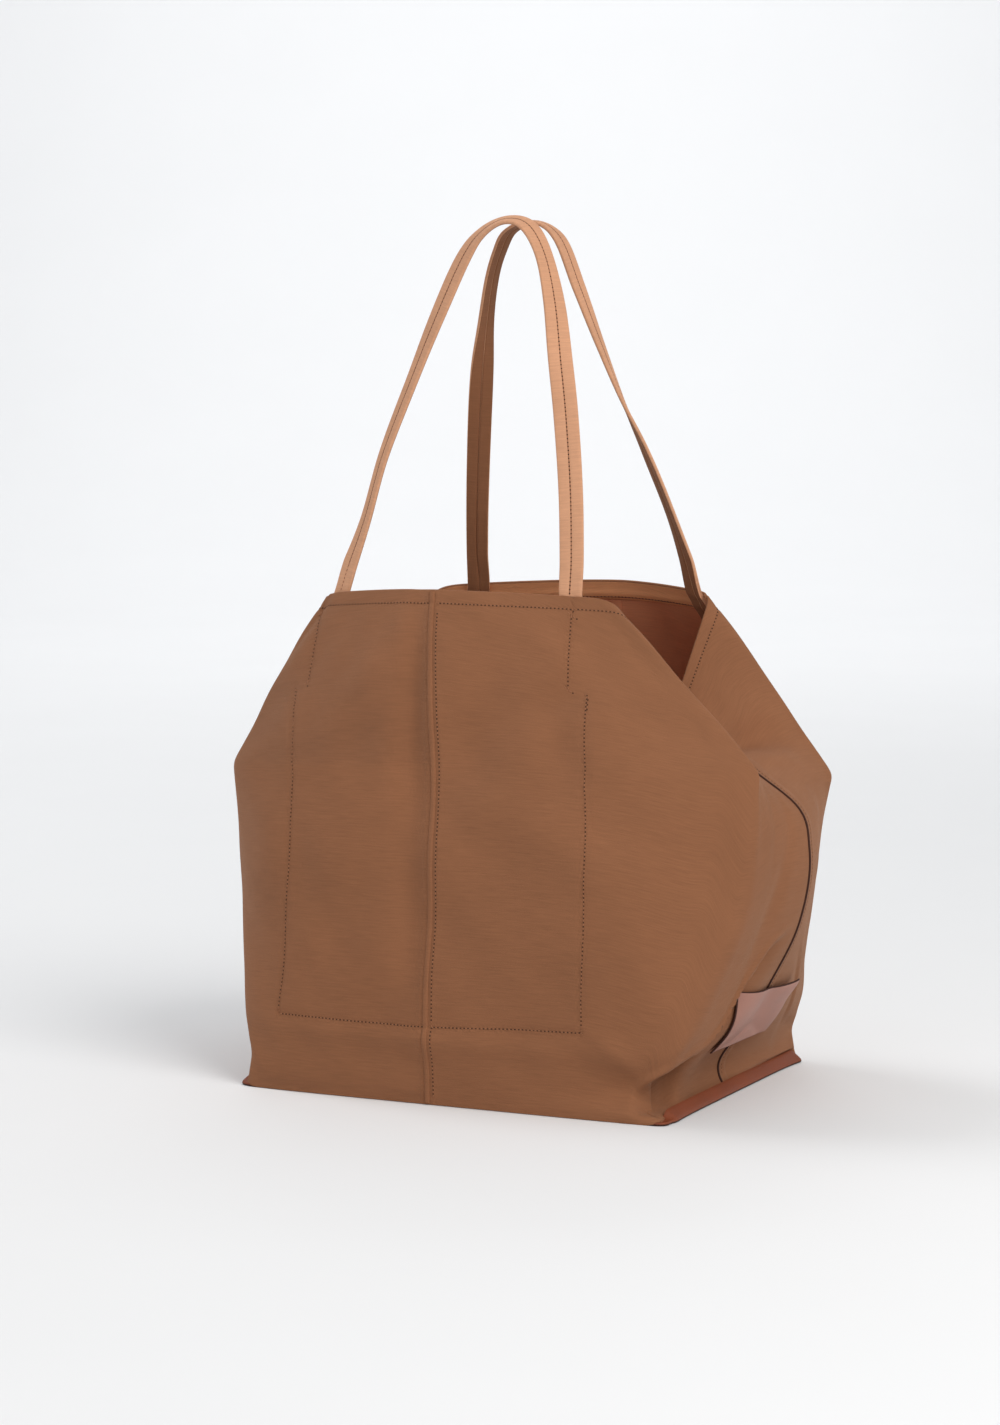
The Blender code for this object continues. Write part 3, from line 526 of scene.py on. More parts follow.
def raw_point(ring, level):
    """Middle surface of the cloth before its folds are rounded."""
    ring = np.mod(ring, 8)
    quarter = np.minimum(ring // 2, 3).astype(int)
    local = ring - 2 * quarter
    local = np.where(quarter % 2 == 1, 2 - local, local)
    point = np.zeros(ring.shape + (3,))
    for index, name in enumerate(RING):
        on_face = (quarter == index) & (local <= 1)
        on_side = (quarter == index) & (local > 1)
        point[on_face] = face_point(name, local[on_face], level[on_face])
        point[on_side] = side_point(name, local[on_side] - 1, level[on_side])
    depth = read_curve(DENT, level)[..., 0] * HALF_LENGTH * bell(ring - 1, DENT_WIDTH)
    return point + depth[..., None] * np.array((-1, 1, 0)) / math.sqrt(2)


def mirrored_point(ring, level):
    """The surface carried straight on past the floor edge and the rim."""
    inside = np.clip(level, 0, 1)
    edge = raw_point(ring, inside)
    beyond = level != inside
    edge[beyond] = 2 * edge[beyond] - raw_point(ring[beyond], 2 * inside[beyond] - level[beyond])
    return edge


def moving_mean(rows, reach):
    """Mean of each closed row over a window of its own half width, in cells, taken three times."""
    count = rows.shape[1]
    pad = int(math.ceil(reach.max())) + 2
    place = np.arange(count) + pad
    for _ in range(3):
        wide = np.concatenate((rows[:, -pad:], rows, rows[:, :pad]), axis=1)
        total = np.cumsum(wide, axis=1) - wide / 2
        every = np.arange(wide.shape[1])
        rows = np.empty_like(rows)
        for row, half in enumerate(reach):
            for axis in range(3):
                ends = np.interp((place - half, place + half), every, total[row, :, axis])
                rows[row, :, axis] = (ends[1] - ends[0]) / (2 * half)
    return rows


def read_rows(grid, at):
    """Rows read in between the rows of an even grid, on a smooth cubic through four of them."""
    i = np.clip(np.floor(at + 1e-6).astype(int), 1, len(grid) - 3)
    k = (at - i)[:, None, None]
    a, b, c, d = (grid[i + step] for step in (-1, 0, 1, 2))
    return b + k / 2 * (c - a + k * (2 * a - 5 * b + 4 * c - d + k * (3 * (b - c) + d - a)))


def smooth_body(columns, levels):
    """Middle surface with rounded folds, worked out on a fine regular grid.

    Each row is a moving mean round the ring; the corners get a share of their lost height back in a
    bell; then each point is a mean of the levels about it, taken twice.
    """
    ring = np.arange(8 * FINE_RING) / FINE_RING
    level = np.arange(-PAD_LEVEL, FINE_LEVEL + PAD_LEVEL + 1) / FINE_LEVEL
    raw = mirrored_point(*np.meshgrid(ring, level))
    reach = read_curve(ROUNDING, np.clip(level, 0, 1))[:, 0] * FINE_RING
    rounded = moving_mean(raw, reach)
    kept = KEEP_CORNER * (1 - smoothstep(*KEEP_FADE, level))
    for corner in (1, 3, 5, 7):
        column = corner * FINE_RING
        lost = ((raw[:, column] - rounded[:, column]) * kept[:, None])[:, None]
        away = wrap(ring - corner) * FINE_RING / reach[:, None]
        rounded = rounded + lost * bell(away, KEEP_REACH)[..., None]
    for _ in range(2):
        stack = [rounded[k:len(rounded) - 2 * ROUND_STEPS + k] for k in range(2 * ROUND_STEPS + 1)]
        rounded = np.mean(stack, axis=0)
    first = level[2 * ROUND_STEPS]
    rows = read_rows(rounded, (levels - first) * FINE_LEVEL)
    closed = np.concatenate((rows[:, -2:], rows, rows[:, :4]), axis=1)
    return read_rows(closed.swapaxes(0, 1), columns * FINE_RING + 2).swapaxes(0, 1)


def relief(ring, level):
    """Height of the soft forms over the smooth surface.

    Each form is a bell along and across a tilted line. A base fold is a narrow crest over its path
    and a hollow under it. The slow waves are sines round and up whose phase sways.
    """
    total = np.zeros(ring.shape)
    for centre, height, half_length, half_width, tilt, rise in FORMS:
        u, v = wrap(ring - centre) * RING_LENGTH, (level - height) * BODY_HEIGHT
        turn = math.radians(tilt)
        along = u * math.cos(turn) + v * math.sin(turn)
        up = v * math.cos(turn) - u * math.sin(turn)
        total += rise * np.exp(-(along / half_length) ** 2 - (up / half_width) ** 2)
    crest_share, crest_rise, crest_width = FOLD_CREST
    for corner, way, depth in CORNER_FOLDS:
        beside = wrap(ring - corner) * way
        below = read_curve(FOLD_PATH, beside)[..., 0] - level
        fade = smoothstep(*FOLD_BEGIN, beside) * smoothstep(*FOLD_END, beside)
        hollow = smoothstep(*FOLD_DROP, below) * bell(below, FOLD_REACH) * smoothstep(0.0, FOLD_FOOT, level)
        total += depth * fade * (crest_share * bell(below + crest_rise, crest_width) - hollow)
    calm = smoothstep(0.0, WAVE_ENDS, level) * smoothstep(1.0, 1 - WAVE_ENDS, level)
    calm *= 1 - WAVE_SIDE_LOSS * smoothstep(*WAVE_SIDES, np.abs(np.mod(ring + 2, 4) - 2))
    for round_cycles, up_cycles, phase, rise in WAVES:
        turn = 2 * math.pi * (round_cycles * ring / 8 + up_cycles * level) + phase
        sway = SWAY * np.sin(2 * math.pi * (SWAY_CYCLES * ring / 8 - level) + phase)
        total += rise * calm * np.sin(turn + sway)
    return total


def groove(distance, depth, width):
    """A soft groove along a stitch row, as a bell of the distance from it."""
    return -depth * bell(distance, width)


class Body:
    """The whole ring of cloth on one grid; everything sewn to it is read from this grid."""

    def __init__(self):
        face = np.linspace(0, 1 - CORNER_REACH, FACE_CELLS + 1)
        corner = np.linspace(1 - CORNER_REACH, 1 + CORNER_REACH, CORNER_CELLS + 1)
        side = np.linspace(1 + CORNER_REACH, 2, SIDE_CELLS + 1)
        local = np.unique(np.round(np.concatenate((face, corner, side, SEAM_COLUMNS)), 6))
        quarter = np.concatenate((local[:-1], 4 - local[:0:-1]))
        self.columns = np.concatenate((quarter, quarter + 4, (8.0,)))
        even = np.linspace(0, 1, LEVEL_CELLS + 1)
        self.levels = np.unique(np.round(np.concatenate((even, ROW_LEVELS)), 6))
        ring, level = np.meshgrid(self.columns, self.levels)
        smooth = smooth_body(self.columns, self.levels)
        height, self.pull = self.shape(ring, level)
        points = smooth + self.normal_of(smooth) * height[..., None]
        self.points = self.settle(points, ring)
        self.normals = self.normal_of(self.points)
        self.lengths()

    def shape(self, ring, level):
        """Relief of the wall, soft forms and stitch grooves, and how near a row pulls the cloth."""
        rows = np.zeros(ring.shape)
        near = wrap(ring)
        left, right = np.moveaxis(read_curve(POCKET_SIDES, level), -1, 0)
        bottom = read_curve(POCKET_BOTTOM, np.clip(near, -1, 1))[..., 0]
        beside = (smoothstep(-POCKET_FOOT_FADE, 0.0, level - bottom)
                  * (1 - smoothstep(POCKET_STITCH_TOP, POCKET_STITCH_TOP + ROW_FADE, level)))
        between = smoothstep(-ROW_FADE, 0.0, near - left) * (1 - smoothstep(0.0, ROW_FADE, near - right))
        for edge in (left, right):
            rows += groove(near - edge, *POCKET_SIDE_GROOVE) * beside
        rows += groove(level - bottom, *POCKET_BOTTOM_GROOVE) * between
        rows += groove(level - HEM_STITCH_LEVEL, *HEM_GROOVE)
        above = smoothstep(ANCHOR_LOW - ROW_FADE, ANCHOR_LOW + ROW_FADE, level)
        for foot in (*strap_feet(-1), *strap_feet(1)):
            line = wrap(ring - anchor_ring(foot, np.clip(level, ANCHOR_LOW, 1)))
            rows += groove(line, *ANCHOR_GROOVE) * above
        aside = np.minimum(np.abs(near), np.abs(wrap(ring - 4))) * RING_LENGTH
        share, width = WELT_PULL
        pull = np.clip(-rows / FULL_PULL, 0, 1) + share * bell(aside - WELT_STITCHES, width)
        return relief(ring, level) + rows, np.clip(pull, 0, 1)

    def normal_of(self, points):
        """Outward normals, from the differences of the grid; the ring closes on itself."""
        ring = np.concatenate((points[:, -2:-1], points, points[:, 1:2]), axis=1)
        along = ring[:, 2:] - ring[:, :-2]
        up = np.gradient(points, axis=0)
        return unit(np.cross(along, up))

    def settle(self, points, ring):
        """Bottom edge just off the floor, or on the leather at the short sides.

        Behind the lip of the leather the wall keeps inside it; over the lip's top that limit slopes
        outwards.
        """
        local = np.abs(np.mod(ring, 4) - 2)
        on_leather = np.clip((1.0 - local) / EDGE_RAMP + 1, 0, 1)
        least = FLOOR_CLEARANCE + on_leather * (LEATHER_THICKNESS + 2 * GAP - FLOOR_CLEARANCE)
        points[..., 2] = np.maximum(points[..., 2], least)
        x, y, z = np.moveaxis(points, -1, 0)
        limit = HALF_LENGTH + LIP - LIP_DEPTH - CLOTH / 2 - GAP + np.maximum(z - LIP_HEIGHT, 0) * LIP_LEAN
        end = np.where(x > 0, LIP_END, LEFT_LIP_END)
        beside = smoothstep(*LIP_HOLD, y - end) * smoothstep(*LIP_HOLD_BACK, y)
        points[..., 0] = x - np.sign(x) * np.maximum(np.abs(x) - limit, 0) * beside
        return points

    def lengths(self):
        """Cloth coordinates in metres: round from the front seam and up from the floor."""
        self.round = way_along(self.points.swapaxes(0, 1)).T
        self.up = way_along(self.points)

    def between(self, low, high):
        """Columns from one ring coordinate to another, both included; low may be below 0."""
        every = np.concatenate((self.columns[:-1] - 8, self.columns))
        return every[(every > low - 1e-6) & (every < high + 1e-6)]

    def read(self, grid, ring, level):
        """Bilinear reading of any grid of the body."""
        ring, level = np.broadcast_arrays(np.asarray(ring, float), np.asarray(level, float))
        ring = np.where(ring >= 8, ring - 8, np.where(ring < 0, ring + 8, ring))
        c = np.clip(np.searchsorted(self.columns, ring, side="right") - 1, 0, len(self.columns) - 2)
        r = np.clip(np.searchsorted(self.levels, level, side="right") - 1, 0, len(self.levels) - 2)
        u = (ring - self.columns[c]) / (self.columns[c + 1] - self.columns[c])
        v = (level - self.levels[r]) / (self.levels[r + 1] - self.levels[r])
        if grid.ndim == 3:
            u, v = u[..., None], v[..., None]
        return ((grid[r, c] * (1 - u) + grid[r, c + 1] * u) * (1 - v)
                + (grid[r + 1, c] * (1 - u) + grid[r + 1, c + 1] * u) * v)

    def at(self, ring, level):
        """Points and outward normals."""
        return self.read(self.points, ring, level), unit(self.read(self.normals, ring, level))

    def cloth_place(self, ring, level):
        return np.stack((self.read(self.round, ring, level), self.read(self.up, ring, level)), -1)

    def metres_per_ring(self, ring, level, step=0.01):
        """How long one unit of the ring coordinate is there."""
        before, after = self.at(ring - step, level)[0], self.at(ring + step, level)[0]
        return np.linalg.norm(after - before, axis=-1) / (2 * step)


def grid_quads(rows, cols, start=0):
    """Quads of a grid of points, row after row, wound so that right times up points outwards."""
    index = start + np.arange(rows * cols).reshape(rows, cols)
    return np.stack((index[:-1, :-1], index[:-1, 1:], index[1:, 1:], index[1:, :-1]), -1).reshape(-1, 4)


def new_object(name, data):
    item = bpy.data.objects.new(name, data)
    bpy.context.collection.objects.link(item)
    return item


def make_object(name, verts, faces, materials, slots=None, uv=None, sharp=40, pull=None):
    """A smooth-shaded mesh object from whole arrays; uv is one place in metres for each point.

    The sign of its volume tells whether the faces look outwards.
    """
    mesh = bpy.data.meshes.new(name)
    verts, faces = np.asarray(verts, float).reshape(-1, 3), np.asarray(faces)
    a, b, c, d = (verts[faces[:, k]] for k in range(4))
    if np.sum(a * np.cross(b, c)) + np.sum(a * np.cross(c, d)) < 0:
        faces = faces[:, ::-1]
    mesh.vertices.add(len(verts))
    mesh.vertices.foreach_set("co", verts.ravel())
    mesh.loops.add(faces.size)
    mesh.loops.foreach_set("vertex_index", faces.ravel())
    mesh.polygons.add(len(faces))
    mesh.polygons.foreach_set("loop_start", np.arange(len(faces)) * faces.shape[1])
    mesh.update(calc_edges=True)
    for material in materials:
        mesh.materials.append(material)
    if slots is not None:
        mesh.polygons.foreach_set("material_index", np.asarray(slots, dtype=np.int32))
    if uv is not None:
        layer = mesh.uv_layers.new(name="cloth")
        layer.data.foreach_set("uv", np.asarray(uv, float).reshape(-1, 2)[faces.ravel()].ravel())
    if pull is not None:
        layer = mesh.attributes.new("pull", "FLOAT", "POINT")
        layer.data.foreach_set("value", np.asarray(pull, float).ravel())
    mesh.validate()
    mesh.shade_smooth()
    mesh.set_sharp_from_angle(angle=math.radians(sharp))
    return new_object(name, mesh)


def sheet_object(name, outer, inner, materials, uv=None, sharp=40, pull=None, slots=(0, 1, 2)):
    """A closed sheet between two grids.

    The slots are for its outer side, its inner side and its cut edge, each one number or an array of
    one for each quad. A sheet with fewer materials takes the last one instead.
    """
    rows, cols = outer.shape[:2]
    count = rows * cols
    border = np.concatenate((np.arange(cols), np.arange(1, rows) * cols + cols - 1,
                             (rows - 1) * cols + np.arange(cols - 2, -1, -1),
                             np.arange(rows - 2, 0, -1) * cols))
    after = np.roll(border, -1)
    parts = (grid_quads(rows, cols), grid_quads(rows, cols, count)[:, ::-1],
             np.stack((border, border + count, after + count, after), -1))
    slots = np.concatenate([np.broadcast_to(np.ravel(slot), len(part)) for slot, part in zip(slots, parts)])
    uv, pull = (grid if grid is None else np.concatenate((grid, grid)) for grid in (uv, pull))
    return make_object(name, np.concatenate((outer, inner)), np.concatenate(parts), materials,
                       np.minimum(slots, len(materials) - 1), uv, sharp, pull)


def tube_object(name, rings, materials, slots, uv=None, sharp=40):
    """Rings of points joined into a band, closed at both ends by folding each end ring flat."""
    length, count = rings.shape[:2]
    ends = [np.repeat(rings[end].mean(axis=0)[None, None], count, axis=1) for end in (0, -1)]
    rings = np.concatenate((ends[0], rings, ends[1]))
    index = np.arange((length + 2) * count).reshape(length + 2, count)
    after = np.roll(index, -1, axis=1)
    faces = np.stack((index[:-1], after[:-1], after[1:], index[1:]), -1).reshape(-1, 4)
    if uv is not None:
        uv = np.concatenate((uv[:1], uv, uv[-1:]))
    return make_object(name, rings, faces, materials, np.tile(slots, length + 1), uv, sharp)


class Shader:
    """Short names for building one procedural material."""

    def __init__(self, name, roughness, sheen=0.0, shine=0.5, source="Object"):
        self.material = bpy.data.materials.new(name)
        self.material.use_nodes = True
        self.tree = self.material.node_tree
        self.source = source
        self.shader = self.tree.nodes["Principled BSDF"]
        self.shader.inputs["Roughness"].default_value = roughness
        self.shader.inputs["Sheen Weight"].default_value = sheen
        self.shader.inputs["Sheen Roughness"].default_value = SHEEN_ROUGHNESS
        self.shader.inputs["Sheen Tint"].default_value = SHEEN_TINT
        self.shader.inputs["Specular IOR Level"].default_value = shine

    def node(self, kind, values, **settings):
        node = self.tree.nodes.new(kind)
        for key, value in settings.items():
            setattr(node, key, value)
        for key, value in values.items():
            if isinstance(value, bpy.types.NodeSocket):
                self.tree.links.new(value, node.inputs[key])
            else:
                node.inputs[key].default_value = value
        return node

    def times(self, a, b):
        return self.node("ShaderNodeMath", {0: a, 1: b}, operation="MULTIPLY").outputs[0]

    def plus(self, a, b):
        return self.node("ShaderNodeMath", {0: a, 1: b}, operation="ADD").outputs[0]

    def place(self, stretch=(1, 1, 1)):
        """Coordinates in metres, the cloth's own or the object's, times a stretch."""
        source = self.node("ShaderNodeTexCoord", {}).outputs[self.source]
        return self.node("ShaderNodeMapping", {"Vector": source, "Scale": stretch}).outputs[0]

    def noise(self, place, scale, detail, roughness=0.55):
        values = {"Vector": place, "Scale": scale, "Detail": detail, "Roughness": roughness}
        return self.node("ShaderNodeTexNoise", values).outputs[0]

    def ramp(self, value, low, high, reach=NOISE_RANGE):
        """A value brought from its own range to one from low to high."""
        values = {"Value": value, "From Min": reach[0], "From Max": reach[1], "To Min": low, "To Max": high}
        return self.node("ShaderNodeMapRange", values).outputs[0]

    def finish(self, colour, tone, height, depth, roughness=None):
        """The colour times a tone, a bump, and where it isn't constant the roughness."""
        shade = self.node("ShaderNodeVectorMath", {0: colour, "Scale": tone}, operation="SCALE")
        bump = self.node("ShaderNodeBump", {"Height": height, "Distance": depth, "Strength": 1.0})
        self.tree.links.new(bump.outputs[0], self.shader.inputs["Normal"])
        self.tree.links.new(shade.outputs[0], self.shader.inputs["Base Color"])
        if roughness is not None:
            self.tree.links.new(roughness, self.shader.inputs["Roughness"])
        return self.material


def canvas(name, colour, sheen=0.14):
    """Fine plain weave, two crossed sines, with slubs along the weft and a little unevenness in its dye.

    Where the attribute pull is above 0, beside the stitch rows, the cloth is puckered.
    """
    s = Shader(name, 0.85, sheen, 0.2, "UV")
    split = s.node("ShaderNodeSeparateXYZ", {"Vector": s.place()})
    waves = [s.node("ShaderNodeMath", {0: s.times(split.outputs[axis], 2 * math.pi / WEAVE_PITCH)},
                    operation="SINE").outputs[0] for axis in (0, 1)]
    slub = s.noise(s.place(SLUBS), 1.0, 4.0, 0.65)
    dye = s.noise(s.place(DYE), 1.0, 4.0, 0.6)
    fuzz = s.noise(s.place(FUZZ), 1.0, 2.0, 0.5)
    tone = s.times(s.ramp(slub, 0.91, 1.09), s.ramp(dye, 0.94, 1.06))
    tone = s.times(tone, s.ramp(fuzz, 0.96, 1.04, (0.25, 0.75)))
    height = s.plus(s.times(s.times(*waves), WEAVE_HEIGHT), slub)
    height = s.plus(height, s.times(fuzz, FUZZ_HEIGHT))
    pull = s.node("ShaderNodeAttribute", {}, attribute_name="pull").outputs["Fac"]
    pucker = s.noise(s.place(PUCKER), 1.0, 2.0, 0.5)
    height = s.plus(height, s.times(s.times(pull, pucker), PUCKER_HEIGHT))
    return s.finish(colour, tone, height, CANVAS_DEPTH)


def leather(name, colour, roughness, grain, depth):
    """Smooth leather: fine cells, soft creases and small changes of shade and of roughness."""
    s = Shader(name, roughness, shine=0.25)
    place = s.place()
    cell = s.node("ShaderNodeTexVoronoi", {"Vector": place, "Scale": grain}).outputs["Distance"]
    crease = s.noise(place, grain * 0.6, 4.0)
    broad = s.noise(place, 28.0, 4.0)
    tone = s.times(s.ramp(cell, 0.95, 1.03, (0.0, 0.7)), s.ramp(broad, 0.90, 1.09))
    height = s.plus(cell, s.times(crease, 0.6))
    return s.finish(colour, tone, height, depth, s.ramp(broad, roughness - 0.06, roughness + 0.06))


def mottled(name):
    """Edge paint, painted shade of the needle holes, thread, board or paper: one fine noise is both its
    shade and its height.
    """
    colour, roughness, sheen, shine, scale, detail, dark, pale, depth = MOTTLED[name]
    s = Shader(name, roughness, sheen, shine)
    grain = s.noise(s.place(), scale, detail)
    return s.finish(colour, s.ramp(grain, dark, pale), grain, depth)


def ride_as(item, nodes=()):
    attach(item, "bag")
    if nodes:
        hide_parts(*nodes)


def panel(body, name, materials):
    """A quarter of the body; at the rim the cloth rolls over in a half circle."""
    index = RING.index(name)
    ring = body.between(2 * index, 2 * index + 2)
    c = np.searchsorted(body.columns, ring)
    middle, normal = body.points[:, c].copy(), body.normals[:, c]
    for edge, beside in ((0, 1), (-1, -2)):
        middle[:, edge] += unit(middle[:, beside] - middle[:, edge]) * QUARTER_GAP
    outer, inner = middle + normal * CLOTH / 2, middle - normal * CLOTH / 2
    radius = (CLOTH + GAP + HEM_CLOTH) / 2
    up = unit(middle[-1] - middle[-2])
    angle = np.linspace(0, math.pi, ROLL_STEPS)[1:, None]
    turn = angle[..., None]
    roll = (middle[-1] + normal[-1] * (CLOTH / 2 - radius + radius * np.cos(turn))
            + up * radius * np.sin(turn))
    place = np.stack((body.round[:, c], body.up[:, c]), -1)
    over = place[-1] + np.stack((0 * angle, radius * angle), -1)
    outer = np.concatenate((outer, roll))
    inner = np.concatenate((inner, np.repeat(inner[-1:], len(roll), axis=0)))
    pull = np.concatenate((body.pull[:, c], np.zeros((len(roll), len(c)))))
    inside = np.ones((len(outer) - 1, len(c) - 1), int)
    inside[:np.searchsorted(body.levels, FOOT_LEVEL)] = 0
    face, side = name.split("_")
    node = f"{face}_panel_{side}"
    item = sheet_object(f"{node}_cloth", outer, inner, materials, np.concatenate((place, over)), pull=pull,
                        slots=(0, inside, 2))
    ride_as(item, [node])


def rim_hem(body, face, seam, materials):
    """Turned hem inside the rim: its face lies in line with the rolled edge, its foot is thinner."""
    levels = np.concatenate(((HEM_LEVEL,), body.levels[body.levels > HEM_LEVEL + 1e-4]))
    ring, level = np.meshgrid(body.between(seam - 2, seam + 2), levels)
    middle, normal = body.at(ring, level)
    near = CLOTH / 2 + GAP
    foot = 1 - smoothstep(HEM_LEVEL, HEM_LEVEL + HEM_FOOT, level)
    inner = middle - normal * (near + HEM_CLOTH * (1 - HEM_FOOT_LOSS * foot))[..., None]
    # the hem's material is a lighter copy of the tan canvas, painted light
    item = sheet_object(f"{face}_rim_hem_cloth", middle - normal * near, inner, materials,
                        body.cloth_place(ring, level))
    ride_as(item, [f"{face}_rim_hem"])


def ridge(body, name, seam, profile, levels, materials, nodes=(), painted=0, way=1):
    """A strip over a seam: profile gives, across in metres, its height over the cloth.

    Its first cells are painted. The way is 1 on the outside of the bag and -1 on its inside.
    """
    across, height = np.array(profile).T
    level = levels[:, None] + 0 * across
    ring = seam + across / body.metres_per_ring(seam, level)
    middle, normal = body.at(ring, level)
    normal = normal * way
    top = middle + normal * (CLOTH / 2 + height)[..., None]
    under = middle + normal * (CLOTH / 2 - FOOT_IN)
    uv = np.stack((across + 0 * level, body.read(body.up, ring, level)), -1)
    front = np.tile(np.arange(len(across) - 1) < painted, len(levels) - 1)
    item = sheet_object(name, top, under, materials, uv, sharp=60, slots=(front, 0, 0))
    ride_as(item, nodes)


def stitch_row(name, points, normals, threads, pitch=STITCH_PITCH):
    """Stitches along a line: short capsules that dip into the cloth, with a dark disc between, the painted
    shade of the needle hole.

    A capsule's girth falls to its ends with the fourth power, and so does its height.
    """
    along = way_along(points)
    count = max(int(along[-1] / pitch), 1)
    at = (np.arange(count) + 0.5) * along[-1] / count

    def read(values, places):
        return np.stack([np.interp(places, along, values[:, k]) for k in range(3)], -1)

    centre, normal = read(points, at), unit(read(normals, at))
    tangent = across_to(unit(read(points, at + pitch / 4) - centre), normal)
    frames = np.stack((tangent, np.cross(tangent, normal), normal), 1)
    t = np.linspace(-1, 1, STITCH_RINGS)[:, None]
    turn = np.linspace(0, 2 * math.pi, STITCH_SIDES, endpoint=False)[None, :]
    girth = STITCH_RADIUS * np.sqrt(np.maximum(1 - (t * STITCH_TAPER) ** 4, 0))
    length = pitch * (1 - STITCH_GAP) / 2
    stitch = np.stack((length * t + 0 * turn, girth * np.cos(turn),
                       girth * np.sin(turn) + STITCH_RISE - STITCH_DIP * t**4), -1).reshape(-1, 3)
    stitches = centre[:, None] + np.einsum("pk,nkj->npj", stitch, frames)
    rings = np.arange(len(stitch)).reshape(STITCH_RINGS, STITCH_SIDES)
    after = np.roll(rings, -1, axis=1)
    stitch_quads = np.stack((rings[:-1], rings[1:], after[1:], after[:-1]), -1).reshape(-1, 4)
    turn = turn[0]
    # dark discs between the stitches: painted shade of the needle holes
    spot = np.stack((HOLE_LENGTH * np.cos(turn), HOLE_WIDTH * np.sin(turn), HOLE_RISE + 0 * turn), -1)
    spot = np.concatenate((spot, spot * (1, 1, -3)))
    shade_spots = (centre + tangent * (along[-1] / count / 2))[:, None] + np.einsum("pk,nkj->npj", spot, frames)
    ring = np.arange(STITCH_SIDES)
    wall = np.stack((ring, ring + STITCH_SIDES, np.roll(ring, -1) + STITCH_SIDES, np.roll(ring, -1)), -1)
    spot_quads = np.concatenate((((0, 1, 2, 3), (0, 3, 4, 5), (6, 9, 8, 7), (6, 11, 10, 9)), wall))
    number = np.arange(count)[:, None, None]
    stitch_faces = (stitch_quads + len(stitch) * number).reshape(-1, 4)
    spot_faces = (spot_quads + len(stitch) * count + len(spot) * number).reshape(-1, 4)
    return make_object(name, np.concatenate((stitches.reshape(-1, 3), shade_spots.reshape(-1, 3))),
                       np.concatenate((stitch_faces, spot_faces)), threads,
                       np.repeat((0, 1), (len(stitch_faces), len(spot_faces))), sharp=70)


def sew(name, points, normals, threads, pitch=STITCH_PITCH):
    """A stitch row on the bag itself."""
    ride_as(stitch_row(name, points, normals, threads, pitch))


def sew_wall(body, name, ring, level, threads, pitch=STITCH_PITCH, lift=0.0):
    """A stitch row along a line of ring and level coordinates on the outside of the cloth."""
    middle, normal = body.at(ring, level)
    sew(name, middle + normal * (CLOTH / 2 + lift), normal, threads, pitch)


def sew_inside(body, name, ring, level, threads, depth):
    """A stitch row on the inside, on what lies at a depth from the middle of the cloth."""
    middle, normal = body.at(ring, level)
    sew(name, middle - normal * depth, -normal, threads)


def bartack(body, name, ring, level, threads):
    """A small cross of stitches that locks the end of a row."""
    reach = np.linspace(-BARTACK, BARTACK, BARTACK_POINTS)
    across = reach / body.metres_per_ring(ring, level)
    for number, slant in enumerate((1, -1)):
        sew_wall(body, f"{name}_{number + 1}", ring + across, level + reach * slant / BODY_HEIGHT, threads,
                 BARTACK_PITCH)


def pocket_place(across, rise):
    """Ring and level of a place on the pocket, given by its shares from left to right and up."""
    level = np.full(np.shape(across), POCKET_START_LEVEL)
    for _ in range(POCKET_GUESSES):
        left, right = np.moveaxis(read_curve(POCKET_SIDES, level), -1, 0)
        ring = left + (right - left) * across
        bottom = read_curve(POCKET_BOTTOM, ring)[..., 0]
        level = bottom + (POCKET_MOUTH - bottom) * rise
    return ring, level


def inner_pocket(body, materials, threads):
    """Patch pocket inside the front: it hangs open by a sine across times a power of the rise."""

    def layer(across, rise, depth):
        across, rise = np.meshgrid(across, rise)
        ring, level = pocket_place(across, rise)
        arch = np.sin(math.pi * across)
        belly = POCKET_BELLY * arch ** BELLY_ACROSS_POWER * rise ** BELLY_RISE_POWER
        height, turns, phase = RIPPLE
        ripple = height * np.sin(turns * across + phase) * rise**2 * arch
        middle, normal = body.at(ring, level)
        points = middle - normal * (CLOTH / 2 + GAP + depth + belly + ripple)[..., None]
        return points, normal, body.cloth_place(ring, level)

    def sheet(node, across, rise, near, far):
        bag_side, _, uv = layer(across, rise, near)
        item = sheet_object(f"{node}_cloth", bag_side, layer(across, rise, far)[0], materials, uv)
        ride_as(item, [node])

    across, rise = (np.linspace(0, 1, count) for count in POCKET_CELLS)
    sheet("inner_pocket", across, rise, 0.0, POCKET_CLOTH)
    hem_rise = 1 - POCKET_HEM / (POCKET_MOUTH - POCKET_BOTTOM[2][1])
    rise = np.concatenate(((hem_rise,), rise[rise > hem_rise + 1e-3]))
    near = POCKET_CLOTH + GAP / 3
    sheet("inner_pocket_hem", across[1:-1], rise, near, near + HEM_CLOTH)
    row, normal, _ = layer(across[2:-2], (hem_rise + POCKET_HEM_ROW,), near + HEM_CLOTH)
    sew("inner_pocket_hem_stitches", row[0], -normal[0], threads)


